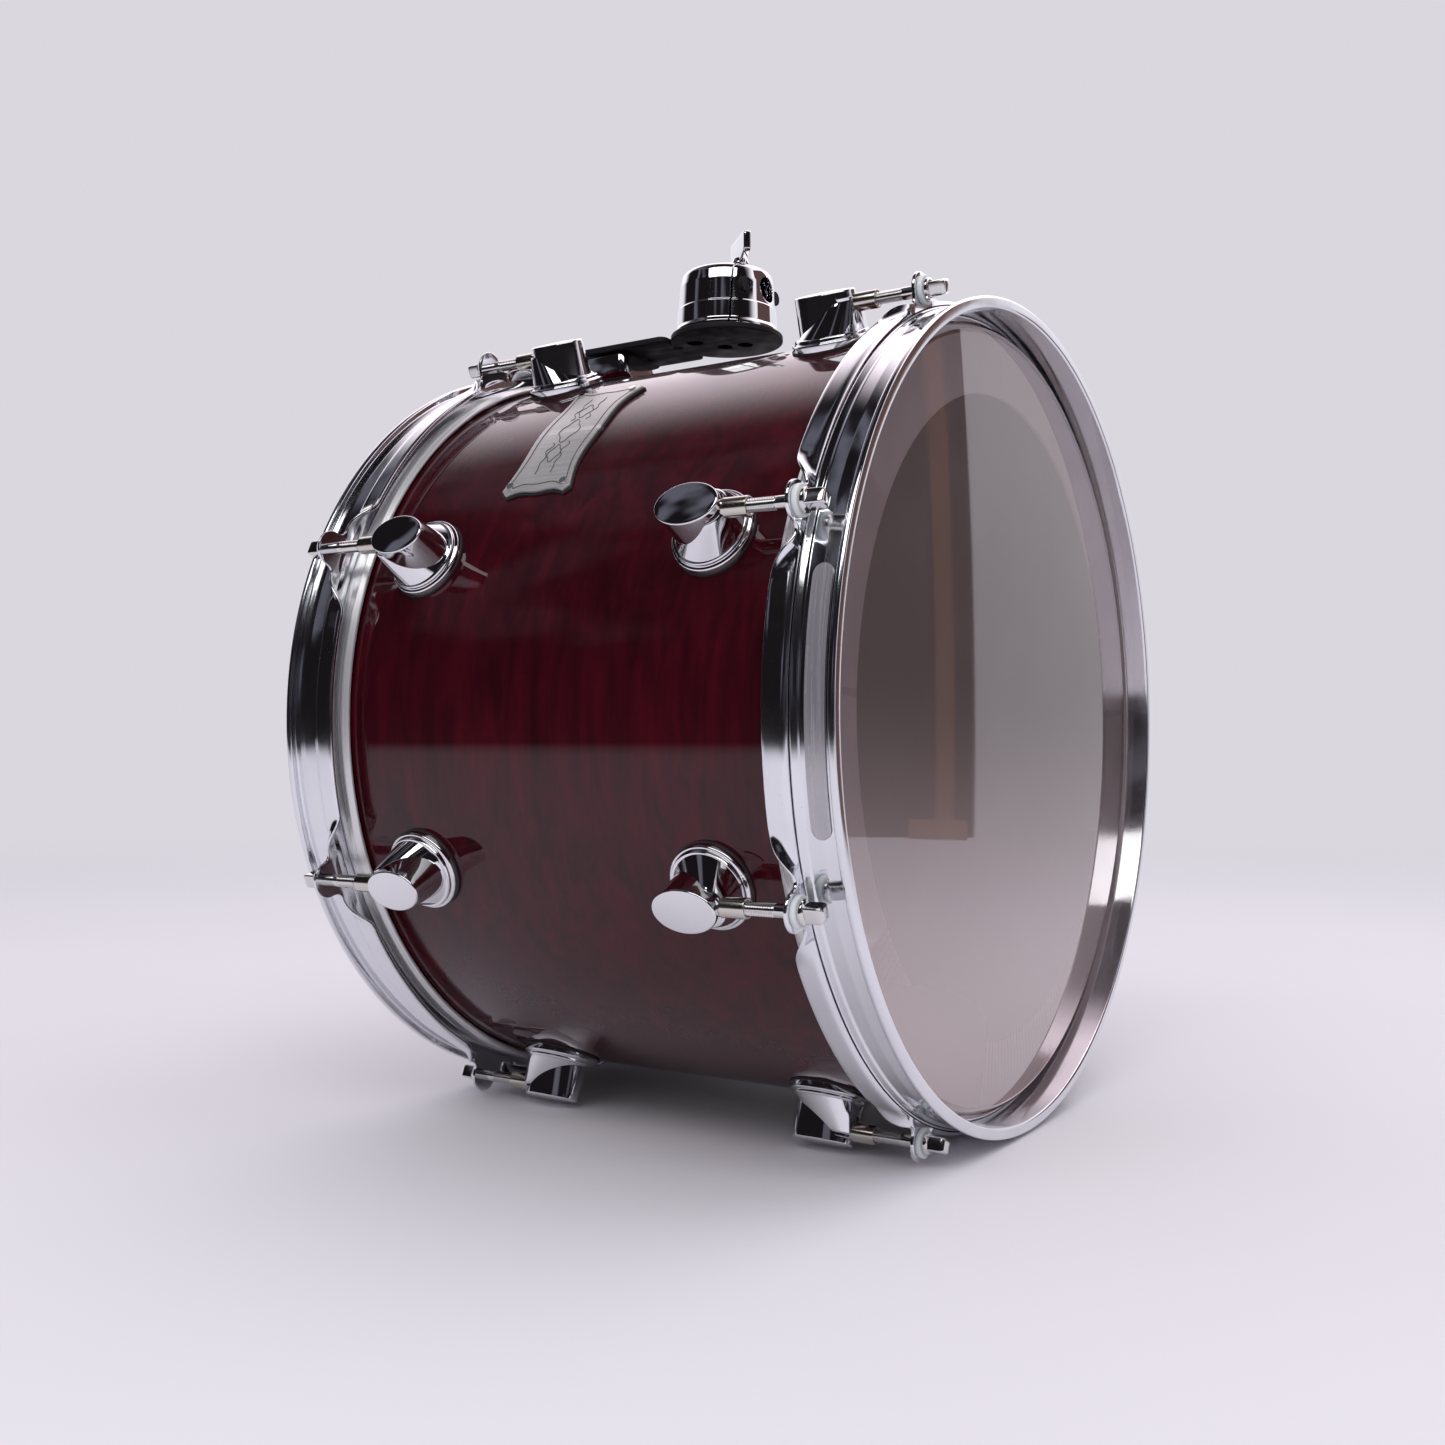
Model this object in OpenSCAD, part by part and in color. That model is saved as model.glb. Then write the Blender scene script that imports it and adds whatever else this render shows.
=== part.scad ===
// Tom tom drum lying on its side: wooden shell, two heads under steel hoops,
// eight lugs and tension rods a side, and an isolated arm receiver on top.
// +X runs along the drum's axis to the batter head, and +Z is up.

/* [Shell] */
// Outer diameter of the shell (a nominal 14 inch shell)
shell_d = 352.4; // [345:0.2:360]
// Length of the shell, from bearing edge to bearing edge
shell_len = 254; // [240:1:280]
// Thickness of the shell wall
shell_wall = 6; // [5:0.5:8]

/* [Heads] */
// Radius from the drum's axis to where the film turns over the bearing edge
edge_r = 174; // [173.5:0.1:174.5]
// Thickness of the film
film_t = 0.5; // [0.4:0.1:0.6]
// Inner radius of the damping ring under the batter film
inlay_r = 146; // [120:1:160]
// Height of the flesh hoop, along the axis
flesh_h = 10.7; // [9:0.1:11]

/* [Hoops] */
// Outer radius of the hoop's wall
hoop_r = 183; // [182.8:0.1:183.2]
// Thickness of the hoop's steel
hoop_t = 2.3; // [2:0.1:2.4]
// Height of the hoop's lip above the bearing edge
lip_rise = 12; // [10:0.5:14]
// Radius of the circle that the tension rods lie on
rod_circle_r = 192.5; // [192:0.1:193.5]

/* [Tension rods] */
// Number of tension rods on each side
rods = 8; // [8:1:8]
// Diameter of a rod
rod_d = 5.4; // [5:0.1:5.5]
// Diameter of a nylon washer
nylon_d = 12.5; // [11:0.5:13]

/* [Lugs] */
// Distance of the lugs from the middle of the shell
lug_x = 74.5; // [70:0.5:78]
// Diameter of a lug's round base
lug_base_d = 36; // [34:1:38]
// Height of a lug's end face above the shell
lug_h = 23.1; // [22.6:0.1:24]

/* [Mount] */
// Position of the arm receiver along the drum's axis
receiver_x = -24; // [-30:1:-20]
// Diameter of the arm that the receiver takes
arm_d = 12.7; // [10:0.1:13]
// Height of the bracket's underside above the top of the shell
bracket_gap = 18.3; // [17:0.1:20]
// Angle of the wing, seen from above
wing_turn = -43; // [-90:1:90]

/* [Hidden] */
$fn = 96;

// Shell and film
shell_r = shell_d / 2;
bore_r = shell_r - shell_wall;
half_len = shell_len / 2;
film_r = shell_r + 0.5;
collar_r = film_r + 0.6;
flesh_x = half_len - 20;
flesh_top = flesh_x + flesh_h;
flesh_r = collar_r + 3;

// Hoop
hoop_in = hoop_r - hoop_t;
skirt_r = hoop_r + 3.8;
skirt_x = half_len - 17;
flange_x = flesh_top;
ear_top = flange_x + hoop_t;
lip_x = half_len + lip_rise;
lip_r = hoop_r + 3;
ear_r = 7.5;

// Rods, nuts and lugs
rod_r = rod_d / 2;
nylon_t = 2.2;
flange_t = 2.2;
key_w = 6.35;
key_len = 7.2;
flange_at = ear_top + nylon_t + 0.05;
nut_r = 4;
nut_x = lug_x + 25;
gasket_t = 0.8;
seat_r = shell_r + gasket_t;
lug_top = shell_r + lug_h;
face_w = 18.4;
face_l = 28.4;
screw_r = 2.5;

// The lowest points are the rims of the lugs' end faces beside the bottom
first_turn = 180 / rods;
axis_z = lug_top * cos(first_turn) + face_w / 2 * sin(first_turn);

// Badge and label
badge_turn = 45.3;
badge_x = -25.5;
badge_l = 80;
badge_w = 37;
label_turn = 89.5;
label_x = half_len + 2.5;
label_w = 8.2;
label_l = 99;

// Mount
bracket_z = shell_r + bracket_gap;
bracket_t = 3;
disc_r = 28.8;
arm_half = 20;
foot_x = -91;
foot_l = 30;
foot_w = 36;
arm_back = -111.5;
isolator_r = 7.6;
receiver_z = bracket_z + bracket_t;
receiver_h = 33;
bore_z = receiver_z + 20.5;
split_x = receiver_x + 15;
split_gap = 0.8;
arm_r = arm_d / 2 + 0.1;
wing_x = receiver_x + 8;
wing_r = 3;
isolator_xs = [foot_x - 8, foot_x + 8];
cap_screw_ys = [-14.5, 14.5];
receiver_screw_at = [[-17.8, 7.9], [-28.7, 5.6], [-38, -8]];

chrome = [0.80, 0.81, 0.83];
satin = [0.72, 0.72, 0.73];
black = [0.05, 0.05, 0.06];
lacquer = [0.30, 0.02, 0.04];

// The drum's axis at its height above the ground
module drum() {
    translate([0, 0, axis_z]) children();
}

// Turned about the drum's axis: a profile of points [radius, x]
module turned(points) {
    rotate([0, 90, 0]) rotate_extrude($fn = 180) polygon(points);
}

// A rod or bore along X that starts at x
module along(x, length, r) {
    translate([x, 0, 0]) rotate([0, 90, 0]) cylinder(h = length, r = r, $fn = 48);
}

// A ring about the drum's axis from x0 to x1
module tube(x0, x1, r_in, r_out) {
    turned([[r_in, x0], [r_out, x0], [r_out, x1], [r_in, x1]]);
}

// Angle of rod i from the top, growing towards -Y
function turn(i) = (i - 0.5) * 360 / rods;

module at_rod(i) {
    rotate([turn(i), 0, 0]) children();
}

module each_rod() {
    for (i = [1:rods]) at_rod(i) children();
}

// The resonant side is the batter side mirrored
module side(resonant) {
    mirror([resonant ? 1 : 0, 0, 0]) children();
}

// Holes in the shell for everything that is screwed to it
module shell_holes() {
    for (s = [-1, 1]) each_rod()
        translate([s * lug_x, 0, bore_r - 10]) cylinder(h = 30, r = screw_r + 0.2, $fn = 32);
    for (x = isolator_xs)
        translate([x, 0, bore_r - 10]) cylinder(h = 30, r = screw_r + 0.2, $fn = 32);
    rotate([180 + 45, 0, 0])
        translate([0, 0, bore_r - 10]) cylinder(h = 30, r = 6.05, $fn = 48);
    badge_holes(shell_r - 4.2);
}

// Six-ply wooden tube with a 45 degree bearing edge at each end
module shell() {
    color(lacquer) drum() difference() {
        turned([
            [bore_r, -half_len + edge_r - bore_r], [edge_r, -half_len],
            [shell_r, -half_len + shell_r - edge_r], [shell_r, half_len - shell_r + edge_r],
            [edge_r, half_len], [bore_r, half_len - edge_r + bore_r]
        ]);
        shell_holes();
    }
}

// Air vent's eyelet, on the side away from the badge
module vent_grommet() {
    color(chrome) drum() rotate([180 + 45, 0, 0]) difference() {
        union() {
            translate([0, 0, bore_r - 1]) cylinder(h = shell_wall + 2.2, r = 6, $fn = 48);
            translate([0, 0, shell_r]) cylinder(h = 1.2, r = 9, $fn = 48);
        }
        translate([0, 0, bore_r - 2]) cylinder(h = shell_wall + 5, r = 4.8, $fn = 48);
    }
}

// Plastic film with its collar, which runs down inside the flesh hoop
module film() {
    turned([
        [0, half_len], [edge_r, half_len], [film_r, half_len - film_r + edge_r],
        [film_r, flesh_x + 1], [collar_r, flesh_x + 1],
        [collar_r, half_len - film_r + edge_r + film_t], [edge_r + 0.2, half_len + film_t],
        [0, half_len + film_t]
    ]);
}

// Aluminium hoop that the film is held in
module flesh_hoop() {
    color(satin) tube(flesh_x, flesh_top, collar_r, flesh_r);
}

module batter_damping_ring() {
    color([0.85, 0.84, 0.83]) drum() tube(half_len - 0.3, half_len, inlay_r, edge_r - 1.6);
}

// Pressed steel hoop: skirt, flange, wall and rolled lip, with an ear at each rod
module hoop() {
    color(chrome) difference() {
        union() {
            turned([
                [collar_r + 0.4, flange_x], [skirt_r - hoop_t, flange_x], [skirt_r - hoop_t, skirt_x],
                [skirt_r, skirt_x], [skirt_r, ear_top - 1], [skirt_r - 1, ear_top],
                [hoop_r, ear_top], [hoop_r, lip_x - 2.6], [lip_r, lip_x - 1.8],
                [lip_r, lip_x - 0.6], [lip_r - 0.6, lip_x], [hoop_in + 0.5, lip_x],
                [hoop_in, lip_x - 0.5], [hoop_in, ear_top], [collar_r + 0.4, ear_top]
            ]);
            each_rod() ear();
        }
        each_rod() translate([0, 0, rod_circle_r]) along(flange_x - 1, 5, rod_r + 0.3);
    }
}

module ear() {
    translate([flange_x, 0, rod_circle_r]) rotate([0, 90, 0]) cylinder(h = hoop_t, r = ear_r);
    translate([flange_x, -ear_r, hoop_r]) cube([hoop_t, 2 * ear_r, rod_circle_r - hoop_r]);
}

// Blank satin label on the wall of the batter hoop
module hoop_label() {
    color(satin) drum() intersection() {
        tube(label_x - label_w, label_x + label_w, hoop_r, hoop_r + 0.3);
        rotate([label_turn, 0, 0]) translate([label_x, 0, 100])
            linear_extrude(100) stadium(label_l - label_w, label_w / 2);
    }
}

// A strip with round ends, along Y
module stadium(straight, r) {
    square([2 * r, straight], center = true);
    for (s = [-1, 1]) translate([0, s * straight / 2]) circle(r = r, $fn = 48);
}

// Chrome casting: round stepped base, oval body and a boss for the swivel nut
module lug() {
    wide = 12.5;
    color(chrome) difference() {
        union() {
            translate([0, 0, shell_r - 4]) cylinder(h = 7, r = lug_base_d / 2);
            translate([0, 0, shell_r + 2]) cylinder(h = 3, r = lug_base_d / 2 - 1.8);
            translate([0, 0, shell_r + 4]) oval_body(wide, face_w / 2, lug_h - 4);
            translate([0, 0, rod_circle_r]) along(0, 16, 6);
        }
        along(-40, 80, seat_r);
        translate([0, 0, rod_circle_r]) along(3, 20, nut_r + 0.1);
        translate([0, 0, shell_r - 8]) cylinder(h = 19, r = screw_r, $fn = 32);
    }
}

// Two cones and the wedge between them
module oval_body(r_base, r_face, h) {
    spread = (face_l - face_w) / 2;
    for (s = [-1, 1]) translate([s * spread, 0, 0])
        cylinder(h = h, r1 = r_base - abs(s) * 1, r2 = r_face);
    rotate([90, 0, 90]) translate([0, 0, -spread]) linear_extrude(2 * spread)
        polygon([[-r_base + 1, 0], [r_base - 1, 0], [r_face, h], [-r_face, h]]);
}

module lugs() {
    each_rod() translate([lug_x, 0, 0]) lug();
}

// Thin rubber seats that the lugs stand on
module lug_gaskets() {
    color(black) intersection() {
        tube(lug_x - 30, lug_x + 30, shell_r, seat_r);
        each_rod() translate([lug_x, 0, shell_r - 5]) difference() {
            cylinder(h = 10, r = lug_base_d / 2 + 0.5);
            translate([0, 0, -1]) cylinder(h = 12, r = screw_r + 0.2, $fn = 32);
        }
    }
}

// Threaded nut that tilts in the lug's boss
module swivel_nuts() {
    color(satin) each_rod() translate([0, 0, rod_circle_r]) difference() {
        along(lug_x + 3.5, nut_x - lug_x - 3.5, nut_r);
        along(lug_x + 3, 30, rod_r + 0.05);
    }
}

module nylon_washers() {
    color("white") each_rod() translate([0, 0, rod_circle_r]) difference() {
        along(ear_top, nylon_t, nylon_d / 2);
        along(ear_top - 1, nylon_t + 2, rod_r + 0.3);
    }
}

// Pan-head screws from inside the shell, one to each lug
module lug_screws() {
    color(satin) drum() for (s = [-1, 1]) each_rod() translate([s * lug_x, 0, 0]) {
        translate([0, 0, bore_r - 1.5]) cylinder(h = 16, r = screw_r - 0.05, $fn = 32);
        translate([0, 0, bore_r - 4.5]) cylinder(h = 3, r = 4.5, $fn = 32);
    }
}

module lug_screw_washers() {
    color(black) drum() for (s = [-1, 1]) each_rod() translate([s * lug_x, 0, 0]) inner_washer();
}

module inner_washer() {
    translate([0, 0, bore_r - 1.5]) difference() {
        cylinder(h = 1.2, r = 8, $fn = 48);
        translate([0, 0, -1]) cylinder(h = 4, r = screw_r, $fn = 32);
    }
}

// Tension rod i: threaded shank, round flange and square key head
module rod(i) {
    color(chrome) at_rod(i) translate([0, 0, rod_circle_r]) {
        along(lug_x + 6, flange_at - lug_x - 5, rod_r);
        along(flange_at, flange_t, 4.9);
        intersection() {
            translate([flange_at + flange_t - 0.5, -key_w / 2, -key_w / 2])
                cube([key_len + 0.5, key_w, key_w]);
            translate([flange_at + flange_t - 1, 0, 0]) rotate([0, 90, 0])
                cylinder(h = key_len + 1, r1 = 5, r2 = 3.4);
        }
    }
}

// Half a side of the badge's outline: an ogee between two pointed corners
function badge_edge(grow) = [
    for (i = [0:24])
        let (t = i / 12 - 1)
        [badge_w / 2 + grow - 3 * cos(90 * t) + 1.1 * cos(270 * t), t * (badge_l / 2 - 3 + grow)]
];
function badge_end(grow) = [
    for (i = [0:16])
        let (t = 1 - i / 8)
        [t * (badge_w / 2 - 3), badge_l / 2 + grow - 2 * cos(90 * t) + 0.8 * cos(270 * t)]
];
function turned_over(points) = [for (p = points) -p];

module badge_outline(grow) {
    polygon(concat(badge_edge(grow), badge_end(grow),
        turned_over(badge_edge(grow)), turned_over(badge_end(grow))));
}

// A layer of the badge, bent to the shell
module badge_layer(grow, r0, r1) {
    intersection() {
        tube(badge_x - 40, badge_x + 40, r0, r1);
        rotate([badge_turn, 0, 0]) translate([badge_x, 0, 120]) linear_extrude(80)
            badge_outline(grow);
    }
}

module at_badge_screws() {
    for (x = [-14.5, 14.5]) for (s = [-1, 1])
        rotate([badge_turn + s * 11.3, 0, 0]) translate([badge_x + x, 0, 0]) children();
}

module badge_holes(from) {
    at_badge_screws() translate([0, 0, from]) cylinder(h = 30, r = 0.9, $fn = 24);
}

module badge_plate() {
    color(satin) drum() difference() {
        badge_layer(0, shell_r + 1, shell_r + 2.2);
        badge_holes(shell_r - 4);
    }
}

module badge_gasket() {
    color(black) drum() difference() {
        badge_layer(0.9, shell_r, shell_r + 1);
        badge_holes(shell_r - 4);
    }
}

module badge_screws() {
    color(satin) drum() at_badge_screws() {
        translate([0, 0, shell_r - 4]) cylinder(h = 6.2, r = 0.85, $fn = 24);
        translate([0, 0, shell_r + 2.2]) cylinder(h = 0.9, r = 1.7, $fn = 24);
    }
}

// Chrome foot on the shell, narrower below its top block
module mount_foot() {
    stem = 24;
    color(chrome) drum() difference() {
        union() {
            translate([foot_x - foot_l / 2, -foot_w / 2, shell_r + 7])
                cube([foot_l, foot_w, bracket_gap - 7 - 1]);
            translate([foot_x - foot_l / 2, -stem / 2, shell_r - 2])
                cube([foot_l, stem, bracket_gap - 2]);
        }
        along(-140, 100, seat_r);
        for (x = isolator_xs) {
            translate([x, 0, shell_r - 3]) cylinder(h = 11, r = screw_r, $fn = 32);
            translate([x, 0, bracket_z - 8]) cylinder(h = 9, r = 2.5, $fn = 32);
        }
    }
}

module mount_foot_gasket() {
    color(black) drum() difference() {
        intersection() {
            tube(foot_x - foot_l, foot_x + foot_l, shell_r, seat_r);
            translate([foot_x - foot_l / 2 - 0.7, -12.7, shell_r - 3])
                cube([foot_l + 1.4, 25.4, 8]);
        }
        for (x = isolator_xs)
            translate([x, 0, shell_r - 3]) cylinder(h = 8, r = screw_r + 0.2, $fn = 32);
    }
}

module mount_foot_screws() {
    color(satin) drum() for (x = isolator_xs) {
        translate([x, 0, bore_r - 1.5]) cylinder(h = 15, r = screw_r - 0.05, $fn = 32);
        translate([x, 0, bore_r - 4.5]) cylinder(h = 3, r = 4.5, $fn = 32);
    }
}

module mount_foot_washers() {
    color(black) drum() for (x = isolator_xs) translate([x, 0, 0]) inner_washer();
}

// Black steel plate: a disc under the receiver and an arm back to the foot
module mount_bracket() {
    color(black) drum() translate([0, 0, bracket_z]) difference() {
        linear_extrude(bracket_t) difference() {
            union() {
                translate([receiver_x, 0]) circle(r = disc_r);
                translate([arm_back + 6, -arm_half]) square([receiver_x - arm_back - 14, 2 * arm_half]);
                translate([arm_back, -arm_half + 6]) square([10, 2 * arm_half - 12]);
                for (s = [-1, 1]) translate([arm_back + 6, s * (arm_half - 6)]) circle(r = 6, $fn = 48);
            }
            for (x = isolator_xs) translate([x, 0]) circle(r = 5.05, $fn = 48);
            translate([-50.5, -5.8]) circle(r = 2.6, $fn = 32);
            for (at = receiver_screw_at) translate(at) circle(r = 2.2, $fn = 32);
        }
        for (at = receiver_screw_at) translate([at[0], at[1], -0.01])
            cylinder(h = 2, r1 = 4.2, r2 = 2.2, $fn = 48);
    }
}

// Rubber bushes that keep the bracket off the foot
module bracket_isolators() {
    color([0.12, 0.12, 0.12]) drum() for (x = isolator_xs) translate([x, 0, bracket_z]) difference() {
        union() {
            translate([0, 0, -1]) cylinder(h = bracket_t + 1, r = 5, $fn = 48);
            translate([0, 0, -1]) cylinder(h = 1, r = isolator_r, $fn = 48);
            translate([0, 0, bracket_t]) cylinder(h = 1.5, r = isolator_r, $fn = 48);
        }
        translate([0, 0, -2]) cylinder(h = 10, r = 2.6, $fn = 32);
    }
}

module bracket_bolts() {
    color(chrome) drum() for (x = isolator_xs) translate([x, 0, bracket_z]) {
        translate([0, 0, -7]) cylinder(h = bracket_t + 9, r = 2.45, $fn = 32);
        translate([0, 0, bracket_t + 1.5]) difference() {
            cylinder(h = 3.5, r = 5, $fn = 48);
            translate([0, 0, 1.2]) cylinder(h = 3, r = 2.2, $fn = 6);
        }
    }
}

// Outline of the whole receiver: a domed drum on a flared base
module receiver_blank() {
    translate([receiver_x, 0, receiver_z]) rotate_extrude($fn = 144) polygon([
        [0, 0], [26.5, 0], [26.8, 1.5], [25.4, 3.5], [24.9, 12], [23.4, receiver_h - 7],
        [21.8, receiver_h - 2.5], [19, receiver_h - 0.6], [14, receiver_h], [0, receiver_h]
    ]);
}

module arm_bore() {
    translate([0, 0, bore_z]) along(receiver_x - 35, 80, arm_r);
}

// The part of the receiver in front of the split, or behind it
module receiver_part(front) {
    x0 = front ? split_x + split_gap / 2 : receiver_x - 40;
    x1 = front ? receiver_x + 40 : split_x - split_gap / 2;
    difference() {
        intersection() {
            receiver_blank();
            translate([x0, -40, receiver_z - 1]) cube([x1 - x0, 80, receiver_h + 2]);
        }
        arm_bore();
    }
}

module receiver_body() {
    color(chrome) drum() difference() {
        receiver_part(false);
        translate([wing_x, 0, bore_z]) cylinder(h = 20, r = wing_r + 0.06, $fn = 48);
        for (at = receiver_screw_at)
            translate([at[0], at[1], receiver_z - 1]) cylinder(h = 9, r = 2, $fn = 32);
        for (y = cap_screw_ys) translate([0, y, bore_z]) along(split_x - 12, 14, 2);
    }
}

module receiver_cap() {
    color(chrome) drum() difference() {
        receiver_part(true);
        for (y = cap_screw_ys) translate([0, y, bore_z]) {
            along(split_x - 1, 20, 2.2);
            along(split_x + 3, 20, 3.8);
        }
    }
}

module receiver_screws() {
    color(satin) drum() for (at = receiver_screw_at) translate([at[0], at[1], bracket_z]) {
        cylinder(h = 1.95, r1 = 4.1, r2 = 2.1, $fn = 48);
        cylinder(h = bracket_t + 6, r = 1.95, $fn = 32);
    }
}

module receiver_cap_screws() {
    color(satin) drum() for (y = cap_screw_ys) translate([0, y, bore_z]) {
        along(split_x - 10, 13.1, 1.95);
        along(split_x + 3, 2.5, 3.6);
    }
}

// Flat wing on a threaded stem, whose tip stops just above the arm
module wing_screw() {
    wing_l = 27;
    wing_t = 3.8;
    wing_h = 13;
    stem_h = receiver_z + receiver_h - bore_z - arm_r + 5;
    color(chrome) drum() translate([wing_x, 0, bore_z + arm_r + 0.3]) rotate([0, 0, wing_turn]) {
        cylinder(h = stem_h, r = wing_r, $fn = 48);
        translate([0, 0, stem_h - 3.5]) cylinder(h = 4.5, r1 = 3.4, r2 = 5.2, $fn = 48);
        rotate([90, 0, 0]) translate([0, stem_h, -wing_t / 2]) linear_extrude(wing_t) polygon([
            [-4.5, 0], [4.5, 0], [wing_l / 2, 3], [wing_l / 2, wing_h - 1], [wing_l / 2 - 1, wing_h],
            [-wing_l / 2 + 1, wing_h], [-wing_l / 2, wing_h - 1], [-wing_l / 2, 3]
        ]);
    }
}

shell();
vent_grommet();
color([0.8, 0.8, 0.8, 0.5]) drum() film();  // batter_film
batter_damping_ring();
drum() flesh_hoop();  // batter_flesh_hoop
drum() hoop();  // batter_hoop
hoop_label();
color([0.8, 0.8, 0.8, 0.5]) drum() side(true) film();  // resonant_film
drum() side(true) flesh_hoop();  // resonant_flesh_hoop
drum() side(true) hoop();  // resonant_hoop
drum() lugs();  // batter_lugs
drum() lug_gaskets();  // batter_lug_gaskets
drum() swivel_nuts();  // batter_swivel_nuts
drum() nylon_washers();  // batter_nylon_washers
drum() side(true) lugs();  // resonant_lugs
drum() side(true) lug_gaskets();  // resonant_lug_gaskets
drum() side(true) swivel_nuts();  // resonant_swivel_nuts
drum() side(true) nylon_washers();  // resonant_nylon_washers
lug_screws();
lug_screw_washers();
for (i = [1:rods]) {
    drum() rod(i);
    drum() side(true) rod(i);
}
badge_plate();
badge_gasket();
badge_screws();
mount_foot();
mount_foot_gasket();
mount_foot_screws();
mount_foot_washers();
mount_bracket();
bracket_isolators();
bracket_bolts();
receiver_body();
receiver_cap();
receiver_screws();
receiver_cap_screws();
wing_screw();
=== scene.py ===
"""Looks of the tom tom drum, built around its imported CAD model. Lengths are in metres.

The drum's axis lies along X. A turn is an angle about it, measured from the top towards -Y.
"""

import math

import bmesh
import bpy
from mathutils import Matrix, Vector


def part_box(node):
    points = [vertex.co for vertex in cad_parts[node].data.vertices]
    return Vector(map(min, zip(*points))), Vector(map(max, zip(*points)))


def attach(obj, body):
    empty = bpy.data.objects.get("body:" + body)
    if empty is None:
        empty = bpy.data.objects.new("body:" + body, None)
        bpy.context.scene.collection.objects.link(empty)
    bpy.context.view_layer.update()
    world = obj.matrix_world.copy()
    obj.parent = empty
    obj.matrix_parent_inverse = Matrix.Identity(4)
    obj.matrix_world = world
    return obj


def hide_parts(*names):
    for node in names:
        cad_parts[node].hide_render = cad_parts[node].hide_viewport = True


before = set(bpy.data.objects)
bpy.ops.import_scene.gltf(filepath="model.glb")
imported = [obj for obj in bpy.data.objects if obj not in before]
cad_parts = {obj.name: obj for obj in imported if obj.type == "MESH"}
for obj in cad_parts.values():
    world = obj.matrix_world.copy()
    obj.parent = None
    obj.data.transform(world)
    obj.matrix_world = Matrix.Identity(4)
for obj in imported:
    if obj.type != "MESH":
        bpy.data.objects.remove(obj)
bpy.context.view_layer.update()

MM = 0.001
RODS = 8  # on each side
WALL = 6 * MM
EDGE_INSET = 2.2 * MM
GASKET_T = 0.8 * MM
scene = bpy.context.scene

# Driving sizes, read from the frame
shell_low, shell_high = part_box("shell")
film_low, film_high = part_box("batter_film")
flesh_low, flesh_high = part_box("batter_flesh_hoop")
hoop_low, hoop_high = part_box("batter_hoop")
nuts_low, nuts_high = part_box("batter_swivel_nuts")
nylon_low, nylon_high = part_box("batter_nylon_washers")
rod_low, rod_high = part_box("batter_rod_1")
plate_low, plate_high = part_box("mount_bracket")
foot_low, foot_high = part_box("mount_foot")
receiver_low, receiver_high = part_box("receiver_body")
cap_low, cap_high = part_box("receiver_cap")
wing_low, wing_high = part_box("wing_screw")
badge_low, badge_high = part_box("badge_plate")

AXIS_Z = (shell_low.z + shell_high.z) / 2
SHELL_R = (shell_high.z - shell_low.z) / 2
BORE_R = SHELL_R - WALL
HALF_LEN = shell_high.x
EDGE_R = SHELL_R - EDGE_INSET
FLESH_R = (flesh_high.z - flesh_low.z) / 2
FLANGE_X = flesh_high.x
EAR_TOP = nylon_low.x
HOOP_T = EAR_TOP - FLANGE_X
SKIRT_X = hoop_low.x
LIP_X = hoop_high.x
HOOP_R = SHELL_R + 6.8 * MM
SKIRT_R = HOOP_R + 3.8 * MM
ROD_CIRCLE_R = math.hypot((rod_low.y + rod_high.y) / 2, (rod_low.z + rod_high.z) / 2 - AXIS_Z)
EAR_R = 7.5 * MM
LUG_X = 74.5 * MM
NUT_R = 4 * MM
LUG_FACE_R = SHELL_R + 23.1 * MM
VENT_TURN = math.radians(225)

DRUM = Matrix.Translation((0, 0, AXIS_Z))
ALONG_X = Matrix.Rotation(math.pi / 2, 4, "Y")
ON_ROD = Matrix.Translation((0, 0, ROD_CIRCLE_R)) @ ALONG_X
HALF_TURN = Matrix.Rotation(math.pi, 4, "Z")
SIDES = {"batter": Matrix.Identity(4), "resonant": HALF_TURN}


def turn_of(i):
    """Turn of rod i, from 1 to 8, in radians."""
    return (i - 0.5) * 2 * math.pi / RODS


def at_turn(turn):
    """A frame whose Z points outward from the drum's axis at this turn."""
    return DRUM @ Matrix.Rotation(turn, 4, "X")


def at_rod(side, i):
    """The frame of rod i. On the resonant side its X points away from the drum's middle too."""
    turn = turn_of(i)
    return at_turn(turn) @ SIDES[side]


# Mesh helpers


def smoothstep(t):
    """0 below 0 and 1 above 1, with a smooth step between."""
    t = min(max(t, 0.0), 1.0)
    return t * t * (3 - 2 * t)


def rounded(corners, steps=5):
    """A closed outline from corners (x, y, radius), each rounded by its radius."""
    outline = []
    for i, (x, y, radius) in enumerate(corners):
        here = Vector((x, y))
        if radius <= 0:
            outline.append(here)
            continue
        back = Vector(corners[i - 1][:2]) - here
        ahead = Vector(corners[(i + 1) % len(corners)][:2]) - here
        half = back.angle(ahead) / 2
        reach = min(radius / math.tan(half), 0.49 * back.length, 0.49 * ahead.length)
        start, end = here + back.normalized() * reach, here + ahead.normalized() * reach
        weight = math.sin(half)
        for k in range(steps + 1):
            t = k / steps
            a, b, c = (1 - t) ** 2, 2 * weight * t * (1 - t), t * t
            outline.append((start * a + here * b + end * c) / (a + b + c))
    return outline


def circle(x, y, radius, steps=48):
    """A closed outline of a circle."""
    angles = [2 * math.pi * k / steps for k in range(steps)]
    return [Vector((x + radius * math.cos(a), y + radius * math.sin(a))) for a in angles]


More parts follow.
